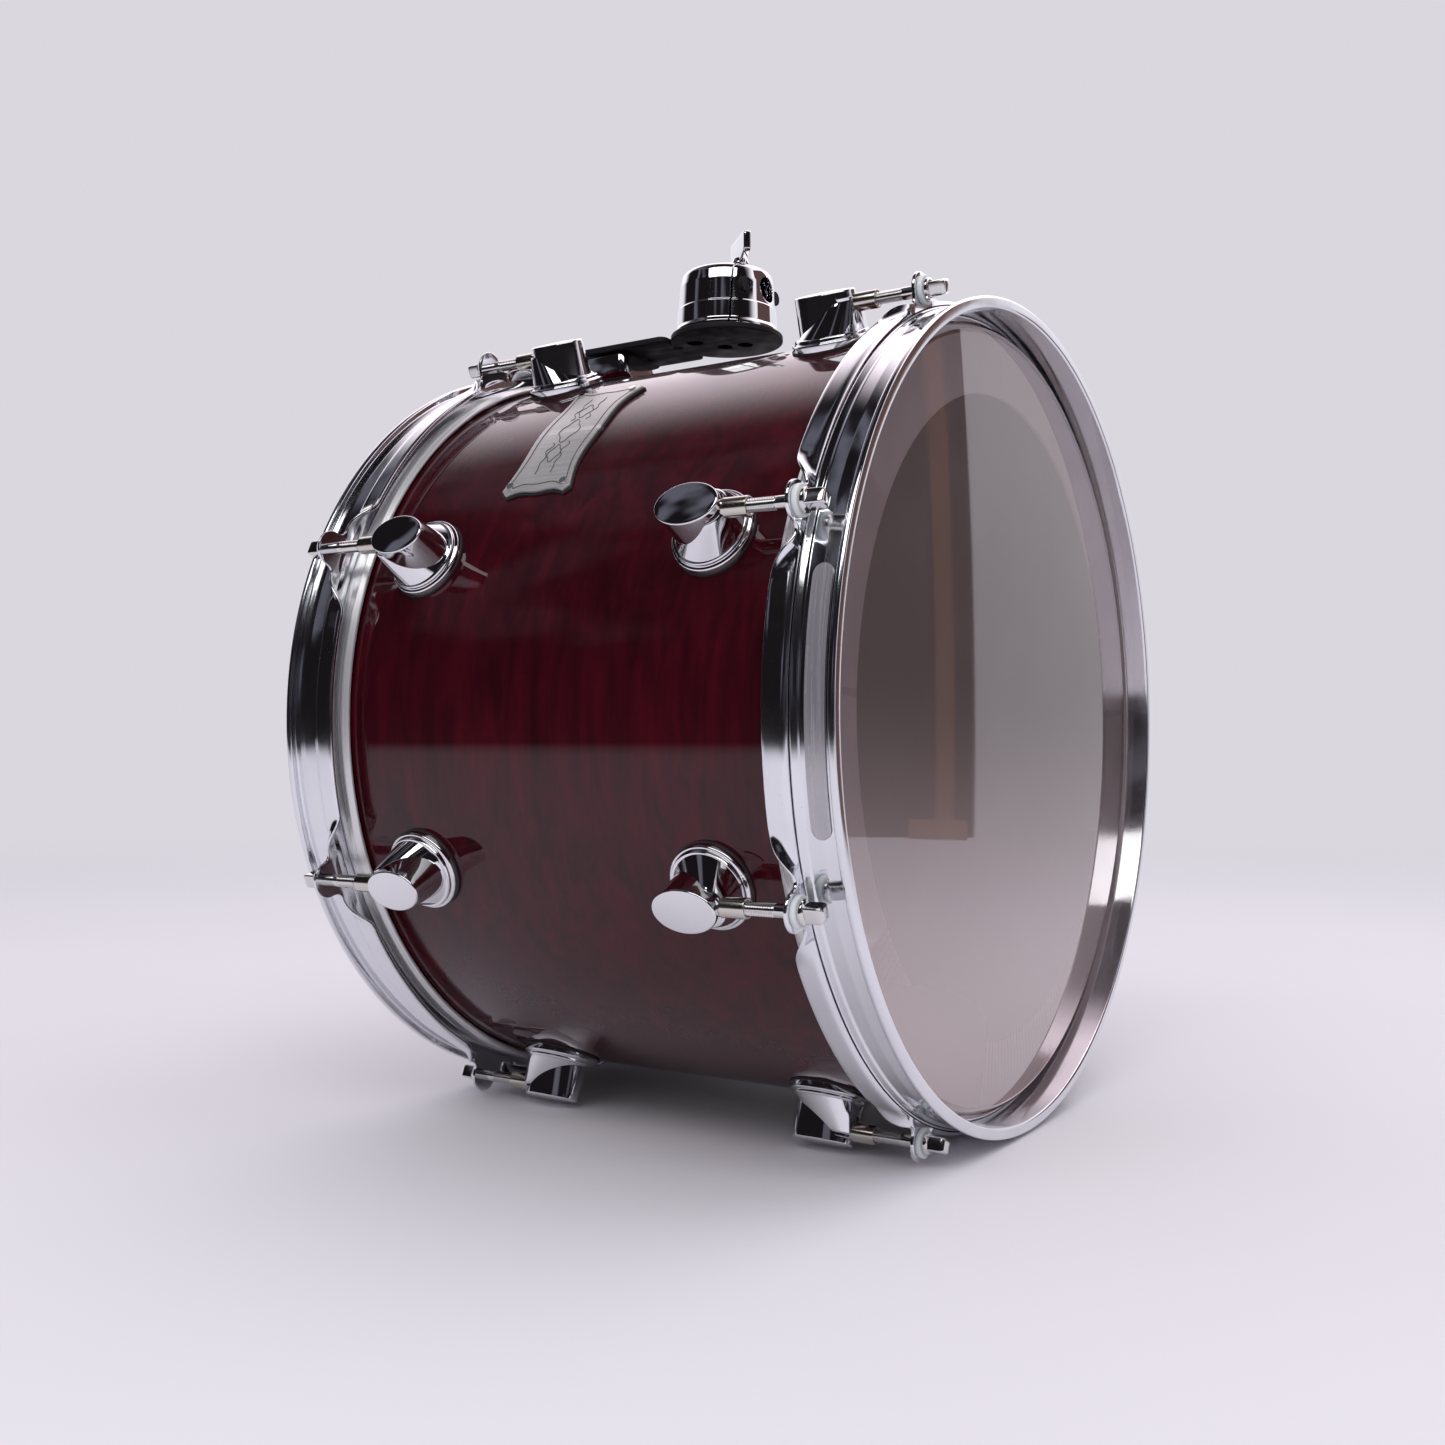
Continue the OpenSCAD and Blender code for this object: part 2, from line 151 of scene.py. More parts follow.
def finish_mesh(bm, name, material, place=Matrix.Identity(4), sharp=35):
    """An object from bm, with clean outward normals, smooth but for edges over that angle."""
    bmesh.ops.remove_doubles(bm, verts=bm.verts, dist=1e-7)
    bmesh.ops.recalc_face_normals(bm, faces=bm.faces)
    mesh = bpy.data.meshes.new(name)
    bm.to_mesh(mesh)
    bm.free()
    mesh.polygons.foreach_set("use_smooth", [True] * len(mesh.polygons))
    mesh.set_sharp_from_angle(angle=math.radians(sharp))
    mesh.materials.append(material)
    obj = bpy.data.objects.new(name, mesh)
    scene.collection.objects.link(obj)
    obj.matrix_world = place
    return obj


def skin(bm, rings, loop=False):
    """Faces between rings of points, each ring closed. With loop, the last joins the first."""
    rows = [[bm.verts.new(point) for point in ring] for ring in rings]
    count = len(rows[0])
    pairs = list(zip(rows, rows[1:]))
    if loop:
        pairs.append((rows[-1], rows[0]))
    for low, high in pairs:
        for k in range(count):
            bm.faces.new((low[k], low[(k + 1) % count], high[(k + 1) % count], high[k]))
    return rows


def capped_skin(bm, rings):
    """Faces between closed rings of points, with a flat face at either end."""
    rows = skin(bm, rings)
    bm.faces.new(rows[0])
    bm.faces.new(rows[-1])


def spin_into(bm, profile, steps):
    """A closed profile of (radius, height) turned about Z. It may touch the axis."""
    columns = []
    for r, h in profile:
        if r < 1e-9:
            columns.append([bm.verts.new((0, 0, h))] * steps)
            continue
        angles = [2 * math.pi * k / steps for k in range(steps)]
        columns.append([bm.verts.new((r * math.cos(a), r * math.sin(a), h)) for a in angles])
    for low, high in zip(columns, columns[1:] + columns[:1]):
        if low[0] == low[1] and high[0] == high[1]:
            continue
        for k in range(steps):
            n = (k + 1) % steps
            corners = dict.fromkeys((low[k], low[n], high[n], high[k]))
            bm.faces.new(list(corners))


def spin(name, profile, material, place, steps=256, sharp=35):
    """A turned piece, from a closed profile of (radius, height)."""
    bm = bmesh.new()
    spin_into(bm, profile, steps)
    return finish_mesh(bm, name, material, place, sharp)


def slab(name, outline, holes, height, bevel, material, place):
    """A plate with round edges: an outline with holes, from z = 0 to height."""
    curve = bpy.data.curves.new(name, "CURVE")
    curve.dimensions = "2D"
    curve.fill_mode = "BOTH"
    for loop in [outline, *holes]:
        spline = curve.splines.new("POLY")
        spline.points.add(len(loop) - 1)
        for point, (x, y) in zip(spline.points, loop):
            point.co = (x, y, 0, 1)
        spline.use_cyclic_u = True
    curve.offset = -bevel
    curve.extrude = height / 2 - bevel
    curve.bevel_depth = bevel
    curve.bevel_resolution = 3
    shape = bpy.data.objects.new(name + "_curve", curve)
    scene.collection.objects.link(shape)
    bpy.context.view_layer.update()
    depsgraph = bpy.context.evaluated_depsgraph_get()
    mesh = bpy.data.meshes.new_from_object(shape.evaluated_get(depsgraph))
    bm = bmesh.new()
    bm.from_mesh(mesh)
    bmesh.ops.translate(bm, verts=bm.verts, vec=(0, 0, height / 2))
    bpy.data.objects.remove(shape)
    bpy.data.meshes.remove(mesh)
    bmesh.ops.remove_doubles(bm, verts=bm.verts, dist=1e-6)
    return finish_mesh(bm, name, material, place)


def combine(obj, other, operation, sharp=35):
    """Applies an exact boolean to obj and removes the other object."""
    cut = obj.modifiers.new("cut", "BOOLEAN")
    cut.operation = operation
    cut.solver = "EXACT"
    cut.object = other
    bake(obj)
    bpy.data.objects.remove(other)
    obj.data.set_sharp_from_angle(angle=math.radians(sharp))


def bake(obj):
    """Applies obj's modifiers."""
    bpy.context.view_layer.update()
    depsgraph = bpy.context.evaluated_depsgraph_get()
    mesh = bpy.data.meshes.new_from_object(obj.evaluated_get(depsgraph))
    old = obj.data
    obj.modifiers.clear()
    obj.data = mesh
    bpy.data.meshes.remove(old)


def block(name, low, high):
    """A box between two corners, used to cut with."""
    bm = bmesh.new()
    bmesh.ops.create_cube(bm, size=1)
    size = Vector(high) - Vector(low)
    bmesh.ops.scale(bm, verts=bm.verts, vec=size)
    bmesh.ops.translate(bm, verts=bm.verts, vec=(Vector(high) + Vector(low)) / 2)
    return finish_mesh(bm, name, MATERIALS["cutter"])


def rod_cutter(name, radius, length, place, steps=96):
    """A cylinder along Z from the frame's origin, used to cut with."""
    profile = [(0, 0), (radius, 0), (radius, length), (0, length)]
    return spin(name, profile, MATERIALS["cutter"], place, steps)


def copy_of(obj, name, place):
    """Another object with the same mesh."""
    other = bpy.data.objects.new(name, obj.data)
    scene.collection.objects.link(other)
    other.matrix_world = place
    return other


def settle(obj, slot, *nodes, body="root"):
    """Rides on a body and stands for those CAD nodes. Its slot is not used."""
    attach(obj, body)
    if nodes:
        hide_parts(*nodes)
    return obj


# Materials

BACKDROP = (0.70, 0.68, 0.735)


class Paint:
    """A material of one Principled shader, with short names for the nodes that feed it."""

    def __init__(self, name, **values):
        self.material = bpy.data.materials.new(name)
        self.material.use_nodes = True
        self.tree = self.material.node_tree
        self.shader = self.tree.nodes["Principled BSDF"]
        for socket, value in values.items():
            self.shader.inputs[socket.replace("_", " ")].default_value = value
        self.where = self.tree.nodes.new("ShaderNodeTexCoord").outputs["Object"]

    def node(self, kind, inputs=(), **settings):
        """A new node, with a value or a link for each input named."""
        made = self.tree.nodes.new(kind)
        for key, value in settings.items():
            setattr(made, key, value)
        for socket, value in dict(inputs).items():
            self.feed(made.inputs[socket], value)
        return made

    def feed(self, socket, value):
        if isinstance(value, bpy.types.NodeSocket):
            self.tree.links.new(value, socket)
        else:
            socket.default_value = value

    def link(self, socket, value):
        self.feed(self.shader.inputs[socket], value)

    def surface(self, shader):
        """Shows a node's shader in place of the Principled one."""
        output = self.tree.nodes["Material Output"]
        self.tree.links.new(shader.outputs[0], output.inputs["Surface"])

    def stretched(self, scale):
        """The object's own coordinates, scaled along each axis."""
        mapping = self.node("ShaderNodeMapping", {"Vector": self.where, "Scale": scale})
        return mapping.outputs["Vector"]

    def noise(self, scale, detail=3, vector=None, distortion=0.0):
        inputs = {"Vector": vector or self.where, "Scale": scale, "Detail": detail, "Distortion": distortion}
        return self.node("ShaderNodeTexNoise", inputs).outputs["Fac"]

    def ramp(self, factor, stops):
        """Colours along a factor, from stops of (position, colour)."""
        ramp = self.node("ShaderNodeValToRGB", {"Fac": factor})
        points = ramp.color_ramp.elements
        while len(points) < len(stops):
            points.new(0.5)
        for point, (at, colour) in zip(points, stops):
            point.position = at
            point.color = (*colour, 1)
        return ramp.outputs["Color"]

    def between(self, factor, low, high, low_value, high_value, curve="LINEAR"):
        """The factor's range from low to high, carried over to another range and clamped."""
        inputs = {
            "Value": factor, "From Min": low, "From Max": high,
            "To Min": low_value, "To Max": high_value,
        }
        return self.node("ShaderNodeMapRange", inputs, interpolation_type=curve).outputs["Result"]

    def soft(self, factor, low, high):
        """0 below low and 1 above high, with a smooth step between."""
        return self.between(factor, low, high, 0.0, 1.0, "SMOOTHSTEP")

    def calculate(self, operation, a, b):
        made = self.node("ShaderNodeMath", {0: a, 1: b}, operation=operation)
        return made.outputs["Value"]

    def mix(self, factor, a, b):
        made = self.node("ShaderNodeMix", {"Factor": factor}, data_type="RGBA")
        self.feed(made.inputs[6], a)
        self.feed(made.inputs[7], b)
        return made.outputs[2]

    def bump(self, height, distance, strength=1.0, normal=None):
        inputs = {"Height": height, "Distance": distance, "Strength": strength}
        made = self.node("ShaderNodeBump", inputs)
        if normal:
            self.tree.links.new(normal, made.inputs["Normal"])
        return made.outputs["Normal"]


def metal(name, colour, roughness, specks=0.0, ripple=0.0):
    """Polished metal with faint smudges, and pits in its plating."""
    paint = Paint(name, Metallic=1.0)
    smudge = paint.noise(38, 4)
    rough = paint.between(smudge, 0.35, 0.75, roughness, roughness * 2.2 + 0.01)
    tone = paint.between(smudge, 0.3, 0.8, 1.0, 0.93)
    shade = paint.node("ShaderNodeVectorMath", {0: colour, "Scale": tone}, operation="SCALE")
    shade = shade.outputs["Vector"]
    if specks:
        pits = paint.between(paint.noise(900, 2), 0.70, 0.76, 0.0, 1.0)
        where = paint.between(paint.noise(17, 2), 0.46, 0.62, 0.0, specks)
        pits = paint.calculate("MULTIPLY", pits, where)
        rough = paint.calculate("ADD", rough, paint.calculate("MULTIPLY", pits, 0.4))
        shade = paint.mix(pits, shade, (0.42, 0.42, 0.45, 1))
    paint.link("Base Color", shade)
    paint.link("Roughness", rough)
    if ripple:
        paint.link("Normal", paint.bump(paint.noise(26, 2), ripple))
    return paint.material


def brushed(name, colour, roughness, stretch):
    """Metal with fine lines; stretch is the noise's scale along each axis."""
    paint = Paint(name, Metallic=0.62)
    lines = paint.noise(1.0, 3, paint.stretched(stretch))
    paint.link("Roughness", paint.between(lines, 0.3, 0.7, roughness * 0.75, roughness * 1.3))
    dark = tuple(c * 0.8 for c in colour)
    paint.link("Base Color", paint.ramp(lines, [(0.3, dark), (0.7, colour)]))
    paint.link("Normal", paint.bump(lines, 0.002 * MM, 0.4))
    return paint.material


def lacquer():
    """Transparent cherry lacquer over figured maple, polished, with hairline scratches."""
    paint = Paint("red_lacquer", Coat_Weight=1.0, Coat_Roughness=0.015, Coat_IOR=1.41, Roughness=0.42,
                  Specular_IOR_Level=0.05)
    curl = paint.noise(1.0, 5, paint.stretched((16, 95, 95)), 0.9)
    grain = paint.noise(1.0, 4, paint.stretched((26, 260, 260)), 0.4)
    cloud = paint.noise(7, 3)
    strong = paint.calculate("MULTIPLY", curl, 0.55)
    tone = paint.calculate("ADD", strong, paint.calculate("MULTIPLY", grain, 0.25))
    tone = paint.calculate("ADD", tone, paint.calculate("MULTIPLY", cloud, 0.2))
    deep, red, bright = (0.021, 0.0005, 0.0026), (0.034, 0.0008, 0.0040), (0.060, 0.0014, 0.0060)
    paint.link("Base Color", paint.ramp(tone, [(0.36, deep), (0.5, red), (0.66, bright)]))
    scratch = paint.noise(1.0, 2, paint.stretched((9, 900, 900)), 0.3)
    lines = paint.between(scratch, 0.72, 0.78, 0.0, 1.0)
    paint.link("Coat Normal", paint.bump(lines, 0.015 * MM, 0.35, paint.bump(paint.noise(55, 2), 0.012 * MM)))
    return paint.material


def maple(name, tint):
    """Plain maple, with its grain round the shell."""
    paint = Paint(name, Roughness=0.55)
    grain = paint.noise(1.0, 5, paint.stretched((420, 14, 14)), 0.8)
    figure = paint.noise(1.0, 3, paint.stretched((36, 5, 5)))
    strong = paint.calculate("MULTIPLY", grain, 0.6)
    tone = paint.calculate("ADD", strong, paint.calculate("MULTIPLY", figure, 0.4))
    dark = tuple(c * 0.62 for c in tint)
    paint.link("Base Color", paint.ramp(tone, [(0.35, dark), (0.62, tint)]))
    paint.link("Normal", paint.bump(grain, 0.05 * MM, 0.5))
    return paint.material


def clear_film():
    """Thin clear plastic: it reflects by angle, and lets the rest through with a faint haze."""
    paint = Paint("clear_film", IOR=1.55)
    scuff = paint.noise(1.0, 3, paint.stretched((1, 90, 22)))
    paint.link("Roughness", paint.between(scuff, 0.4, 0.8, 0.015, 0.075))
    paint.link("Base Color", (0.92, 0.77, 0.78, 1))
    # The film turns milkier and pinker towards its bottom, with faint random patches.
    down = paint.node("ShaderNodeSeparateXYZ", {0: paint.where}).outputs["X"]
    lower_haze = paint.between(down, -0.02, 0.14, 0.08, 0.42, "SMOOTHSTEP")
    haze_amount = paint.calculate("ADD", lower_haze, paint.between(paint.noise(18, 2), 0.5, 0.75, 0.0, 0.02))
    through = paint.node("ShaderNodeBsdfTransparent", {"Color": (0.95, 0.93, 0.93, 1)})
    gloss = paint.node("ShaderNodeBsdfGlossy", {"Color": (1.0, 0.93, 0.93, 1)}, distribution="GGX")
    paint.feed(gloss.inputs["Roughness"], paint.between(scuff, 0.4, 0.8, 0.012, 0.05))
    fresnel = paint.node("ShaderNodeFresnel", {"IOR": 2.0})
    haze = paint.node("ShaderNodeMixShader", {0: haze_amount, 1: through.outputs[0], 2: paint.shader.outputs[0]})
    layers = {0: fresnel.outputs[0], 1: haze.outputs[0], 2: gloss.outputs[0]}
    paint.surface(paint.node("ShaderNodeMixShader", layers))
    return paint.material


def frosted_film():
    """The damping ring: a milky layer that lets a little through."""
    paint = Paint("frosted_film", Roughness=0.4, Alpha=0.5)
    cloud = paint.noise(60, 3)
    paint.link("Base Color", paint.ramp(cloud, [(0.3, (0.70, 0.67, 0.70)), (0.7, (0.78, 0.75, 0.78))]))
    return paint.material


def plastic(name, colour, roughness, grain, **values):
    """Moulded plastic, rubber or paint. The grain is its fine surface's height in millimetres."""
    paint = Paint(name, **values)
    cloud = paint.noise(120, 3)
    dark = tuple(c * 0.88 for c in colour)
    paint.link("Base Color", paint.ramp(cloud, [(0.3, dark), (0.7, colour)]))
    paint.link("Roughness", paint.between(cloud, 0.3, 0.7, roughness * 0.85, roughness * 1.15))
    paint.link("Normal", paint.bump(paint.noise(700, 2), grain * MM, 0.5))
    return paint.material


def paper():
    """The floor: studio paper that runs into the backdrop's colour away from the object."""
    paint = Paint("studio_paper", Roughness=0.85)
    cloud = paint.noise(1.5, 4)
    paint.link("Base Color", paint.ramp(cloud, [(0.3, (0.77, 0.75, 0.79)), (0.7, (0.80, 0.78, 0.82))]))
    far = paint.node("ShaderNodeVectorMath", {0: paint.where}, operation="LENGTH").outputs["Value"]
    glow = paint.node("ShaderNodeEmission", {"Color": (*BACKDROP, 1)})
    fade = paint.between(far, 0.9, 2.6, 0.0, 1.0)
    layers = {0: fade, 1: paint.shader.outputs[0], 2: glow.outputs[0]}
    paint.surface(paint.node("ShaderNodeMixShader", layers))
    return paint.material


MATERIALS = {
    "cutter": bpy.data.materials.new("cutter"),
    "lacquer": lacquer(),
    "maple": maple("maple", (0.50, 0.30, 0.18)),
    "maple_edge": maple("maple_edge", (0.56, 0.36, 0.22)),
    "clear_film": clear_film(),
    "frosted_film": frosted_film(),
    "chrome_hoop": metal("chrome_hoop", (0.82, 0.83, 0.87), 0.07, specks=0.8, ripple=0.05 * MM),
    "chrome_cast": metal("chrome_cast", (0.82, 0.82, 0.85), 0.025, specks=0.3, ripple=0.05 * MM),
    "nickel": metal("nickel_steel", (0.70, 0.66, 0.60), 0.10, specks=0.2),
    "steel": metal("rod_steel", (0.74, 0.73, 0.72), 0.07, specks=0.2),
    "satin": brushed("satin_aluminium", (0.80, 0.80, 0.81), 0.30, (4, 4, 900)),
    "label": brushed("label_metal", (0.50, 0.49, 0.52), 0.24, (1400, 30, 30)),
    "badge": brushed("brushed_plate", (0.60, 0.59, 0.58), 0.38, (60, 1500, 1500)),
    "engraving": metal("engraving", (0.16, 0.155, 0.16), 0.3),
    "black_steel": plastic("black_steel", (0.010, 0.010, 0.012), 0.62, 0.01, Specular_IOR_Level=0.3),
    "rubber": plastic("black_rubber", (0.016, 0.016, 0.017), 0.6, 0.03),
    "nylon": plastic("white_nylon", (0.80, 0.79, 0.77), 0.42, 0.01, Subsurface_Weight=0.15),
    "paper": paper(),
}


# Shell, heads and hoops


def shell():
    """The wooden tube, lacquered outside and bare inside and on its bearing edges."""
    bevel = EDGE_R - BORE_R
    outer = SHELL_R - EDGE_R
    soft = 0.8 * MM
    corners = [
        (BORE_R, -HALF_LEN + bevel, 0.5 * MM), (EDGE_R, -HALF_LEN, soft),
        (SHELL_R, -HALF_LEN + outer, soft), (SHELL_R, HALF_LEN - outer, soft),
        (EDGE_R, HALF_LEN, soft), (BORE_R, HALF_LEN - bevel, 0.5 * MM),
    ]
    obj = spin("shell_body", rounded(corners), MATERIALS["lacquer"], DRUM @ ALONG_X, 360)
    vent_place = at_turn(VENT_TURN) @ Matrix.Translation((0, 0, BORE_R - 10 * MM))
    combine(obj, rod_cutter("vent_cutter", 5.6 * MM, 30 * MM, vent_place), "DIFFERENCE")
    obj.data.materials.clear()
    obj.data.materials.append(MATERIALS["lacquer"])
    obj.data.materials.append(MATERIALS["maple"])
    for face in obj.data.polygons:
        outside = math.hypot(face.center.x, face.center.y) > SHELL_R - 0.6 * MM
        face.material_index = 0 if outside else 1
    settle(obj, "red_lacquer", "shell")


def film(side):
    """Clear disc that rolls over the bearing edge into its collar."""
    thick = 0.5 * MM
    collar = (film_high.z - film_low.z) / 2
    bottom = film_low.x
    top = HALF_LEN + thick
    corners = [
        (0, HALF_LEN, 0), (EDGE_R, HALF_LEN, 1.2 * MM), (collar - 0.6 * MM, HALF_LEN - 2.7 * MM, 1 * MM),
        (collar - 0.6 * MM, bottom, 0), (collar, bottom, 0), (collar, HALF_LEN - 2.4 * MM, 1.5 * MM),
        (EDGE_R + 0.3 * MM, top, 1.7 * MM), (0, top, 0),
    ]
    obj = spin(side + "_head_film", rounded(corners), MATERIALS["clear_film"], DRUM @ SIDES[side] @ ALONG_X)
    settle(obj, "clear_film", side + "_film")


def flesh_hoop(side):
    """Aluminium channel with a rounded outer face."""
    inner = (film_high.z - film_low.z) / 2
    low, high = flesh_low.x, flesh_high.x
    bulge = 1.7 * MM
    corners = [
        (inner, low, 0.4 * MM), (FLESH_R - bulge, low, 1.0 * MM),
        (FLESH_R - 0.35 * MM, low + 2.4 * MM, 2.2 * MM), (FLESH_R, (low + high) / 2, 4 * MM),
        (FLESH_R - 0.35 * MM, high - 2.4 * MM, 2.2 * MM),
        (FLESH_R - bulge, high, 1.0 * MM), (inner, high, 0.4 * MM),
    ]
    obj = spin(side + "_counter_hoop", rounded(corners, 8), MATERIALS["satin"], DRUM @ SIDES[side] @ ALONG_X)
    settle(obj, "satin_aluminium", side + "_flesh_hoop")


def hoop_turns():
    """Turns at which the hoop is sampled, closer together at each ear."""
    turns = []
    ear_half = EAR_R / SKIRT_R
    reach = 36 * MM / SKIRT_R
    for i in range(1, RODS + 1):
        middle = turn_of(i)
        dome = [-ear_half * math.cos(math.pi * k / 16) for k in range(17)]
        rise = [ear_half + (reach - ear_half) * (k / 22) ** 1.35 for k in range(1, 23)]
        between = math.pi / RODS - reach
        far = [reach + between * k / 5 for k in range(1, 6)]
        local = sorted([-a for a in rise + far[:-1]] + dome + rise + far)
        turns += [(middle + a, a) for a in local]
    return turns


def hoop_profile(offset):
    """The hoop's section at an angle from the nearest ear, as (radius, x) points.

    The skirt swings out flat at the ear, and shortens on its way there.
    """
    arc = abs(offset) * SKIRT_R
    half_t = HOOP_T / 2
    bend_r = 1.6 * MM
    bend_at = SKIRT_R - half_t - bend_r
    mid_x = FLANGE_X + half_t
    flare = smoothstep((arc - 8 * MM) / (20 * MM))
    angle = flare * math.pi / 2
    full = mid_x - bend_r - SKIRT_X + bend_r * math.pi / 2
    rise = smoothstep((arc - EAR_R) / (22 * MM))
    length = 4.2 * MM * (1 - rise) + full * rise
    if arc < EAR_R:
        length = max(length, ROD_CIRCLE_R - bend_at + math.sqrt(EAR_R**2 - arc**2))
    elif arc < 11 * MM:
        away = (arc - EAR_R) / (3.5 * MM)
        share = math.sqrt(1 - (1 - away) ** 2)
        length = (ROD_CIRCLE_R - bend_at) * (1 - share) + length * share
    centre, ahead = [], []
    for k in range(7):
        a = angle * k / 6
        centre.append((bend_at + bend_r * math.sin(a), mid_x - bend_r * (1 - math.cos(a))))
        ahead.append((math.cos(a), -math.sin(a)))
    straight = max(length - bend_r * angle, 0.5 * MM)
    last, way = centre[-1], ahead[-1]
    for k in range(1, 6):
        step = straight * k / 5
        centre.append((last[0] + way[0] * step, last[1] + way[1] * step))
        ahead.append(way)
    under = half_t - 0.9 * MM * (1 - flare)
    above = [(c[0] - w[1] * half_t, c[1] + w[0] * half_t) for c, w in zip(centre, ahead)]
    below = [(c[0] + w[1] * under, c[1] - w[0] * under) for c, w in zip(centre, ahead)]
    tip, way = centre[-1], ahead[-1]
    nose = []
    for a in (60, 30, 0, -30, -60):
        side_t = half_t if a > 0 else under
        along, across = math.cos(math.radians(a)) * 0.6 * MM, math.sin(math.radians(a)) * side_t
        nose.append((tip[0] + way[0] * along - way[1] * across, tip[1] + way[1] * along + way[0] * across))
    wall = rounded(
        [
            (HOOP_R + 2 * MM, EAR_TOP, 0), (HOOP_R + 0.9 * MM, EAR_TOP, 0.8 * MM),
            (HOOP_R + 0.55 * MM, EAR_TOP + 2.6 * MM, 0.6 * MM),
            (HOOP_R - 0.35 * MM, EAR_TOP + 3.3 * MM, 0.6 * MM),
            (HOOP_R + 0.1 * MM, (EAR_TOP + LIP_X) / 2, 6 * MM),
            (HOOP_R - 0.35 * MM, LIP_X - 3.6 * MM, 1.1 * MM), (HOOP_R + 3 * MM, LIP_X - 2.9 * MM, 1.2 * MM),
            (HOOP_R + 3 * MM, LIP_X, 1.3 * MM), (HOOP_R - HOOP_T, LIP_X, 1.1 * MM),
            (HOOP_R - HOOP_T, EAR_TOP, 1.0 * MM), (SHELL_R + 1.5 * MM, EAR_TOP, 0.5 * MM),
            (SHELL_R + 1.5 * MM, FLANGE_X, 0.5 * MM), (HOOP_R - 0.5 * MM, FLANGE_X, 0),
        ],
        4,
    )
    return [tuple(p) for p in wall] + below + nose[::-1] + above[::-1]


def hoop(side):
    """Pressed steel hoop, with its eight ears."""
    rings = []
    for turn, offset in hoop_turns():
        spot = Matrix.Rotation(turn, 4, "X")
        rings.append([spot @ Vector((x, 0, r)) for r, x in hoop_profile(offset)])
    bm = bmesh.new()
    skin(bm, rings, loop=True)
    obj = finish_mesh(bm, side + "_rim", MATERIALS["chrome_hoop"], DRUM @ SIDES[side], 50)
    settle(obj, "chrome_hoop", side + "_hoop")


# Lugs, nuts and tension rods


def loft(name, sections, material):
    """A closed loft of ellipses along Z, from sections (half length, half width, centre x, z)."""
    steps = 128
    rings = []
    for half_l, half_w, centre, z in sections:
        angles = [2 * math.pi * k / steps for k in range(steps)]
        rings.append([(centre + half_l * math.cos(a), half_w * math.sin(a), z) for a in angles])
    bm = bmesh.new()
    capped_skin(bm, rings)
    return finish_mesh(bm, name, material)


def lug_casting():
    """Chrome casting in its own frame, with Z outward, X to the hoop and Z = 0 on the axis."""
    face_l, face_w = 14.2 * MM, 9.2 * MM
    seat = SHELL_R + GASKET_T
    top = LUG_FACE_R
    shoulder = top - 1.3 * MM
    rim = 0.7 * MM
    chrome = MATERIALS["chrome_cast"]
    head = []
    for k in range(9):
        t = k / 8
        wide = face_w + 2.8 * MM * (1 - t)
        head.append((face_l + 0.5 * MM * (1 - t), wide, 0, seat + (shoulder - seat) * t))
    for k in range(1, 6):
        a = math.pi / 2 * k / 5
        inset = rim * (1 - math.cos(a))
        head.append((face_l - inset, face_w - inset, 0, shoulder + 0.8 * MM * math.sin(a)))
    for share in (0.85, 0.65, 0.4, 0.15):
        rise = top - 0.5 * MM * share**2
        head.append(((face_l - rim) * share, (face_w - rim) * share, 0, rise))
    body = loft("lug_head", head, chrome)
    # The cone leans towards the hoop as it narrows, and ends in a small step.
    cone = [(16.2 * MM, 16.2 * MM, 0, seat)]
    for k in range(13):
        t = k / 12
        spread = 16.0 - 7.6 * t
        shift = 7.4 * t
        cone.append((spread * MM, spread * MM, shift * MM, seat + (3.4 + 13.4 * t) * MM))
    tip = cone[-1]
    for inset_l, inset_w, rise in ((0.5, 0.5, 0.45), (0.9, 0.8, 0.5), (0.9, 0.8, 1.7), (1.3, 1.2, 2.0)):
        cone.append((tip[0] - inset_l * MM, tip[1] - inset_w * MM, tip[2], tip[3] + rise * MM))
    combine(body, loft("lug_cone", cone, chrome), "UNION")
    base = rounded(
        [
            (0, seat - 3.0 * MM, 0), (18 * MM, seat - 3.0 * MM, 0.1 * MM),
            (18 * MM, seat + 2.2 * MM, 0.9 * MM), (16.6 * MM, seat + 2.5 * MM, 0.5 * MM),
            (16.5 * MM, seat + 3.6 * MM, 0.4 * MM), (16.2 * MM, seat + 4.2 * MM, 0.5 * MM),
            (14.0 * MM, seat + 4.6 * MM, 0), (0, seat + 4.6 * MM, 0),
        ],
        4,
    )
    combine(body, spin("lug_base", base, chrome, Matrix.Identity(4), 128), "UNION")
    nut_hole = Matrix.Translation((3 * MM, 0, ROD_CIRCLE_R)) @ ALONG_X
    combine(body, rod_cutter("nut_hole", NUT_R + 0.12 * MM, 30 * MM, nut_hole, 48), "DIFFERENCE")
    reach = 50 * MM
    under = Matrix.Translation((-reach, 0, 0)) @ ALONG_X
    combine(body, rod_cutter("shell_cutter", seat, 2 * reach, under, 360), "DIFFERENCE", 24)
    return body


def at_every_rod(first, piece, place, slot, node):
    """Puts a copy at each of the sixteen rods, for a CAD node a side, and removes the first."""
    for side in SIDES:
        for i in range(1, RODS + 1):
            copy = copy_of(first, f"{side}_{piece}_{i}", at_rod(side, i) @ place)
            settle(copy, slot, f"{side}_{node}")
    bpy.data.objects.remove(first)


def lugs():
    """Sixteen castings with one mesh."""
    at_every_rod(lug_casting(), "lug_casting", Matrix.Translation((LUG_X, 0, 0)), "chrome_cast", "lugs")


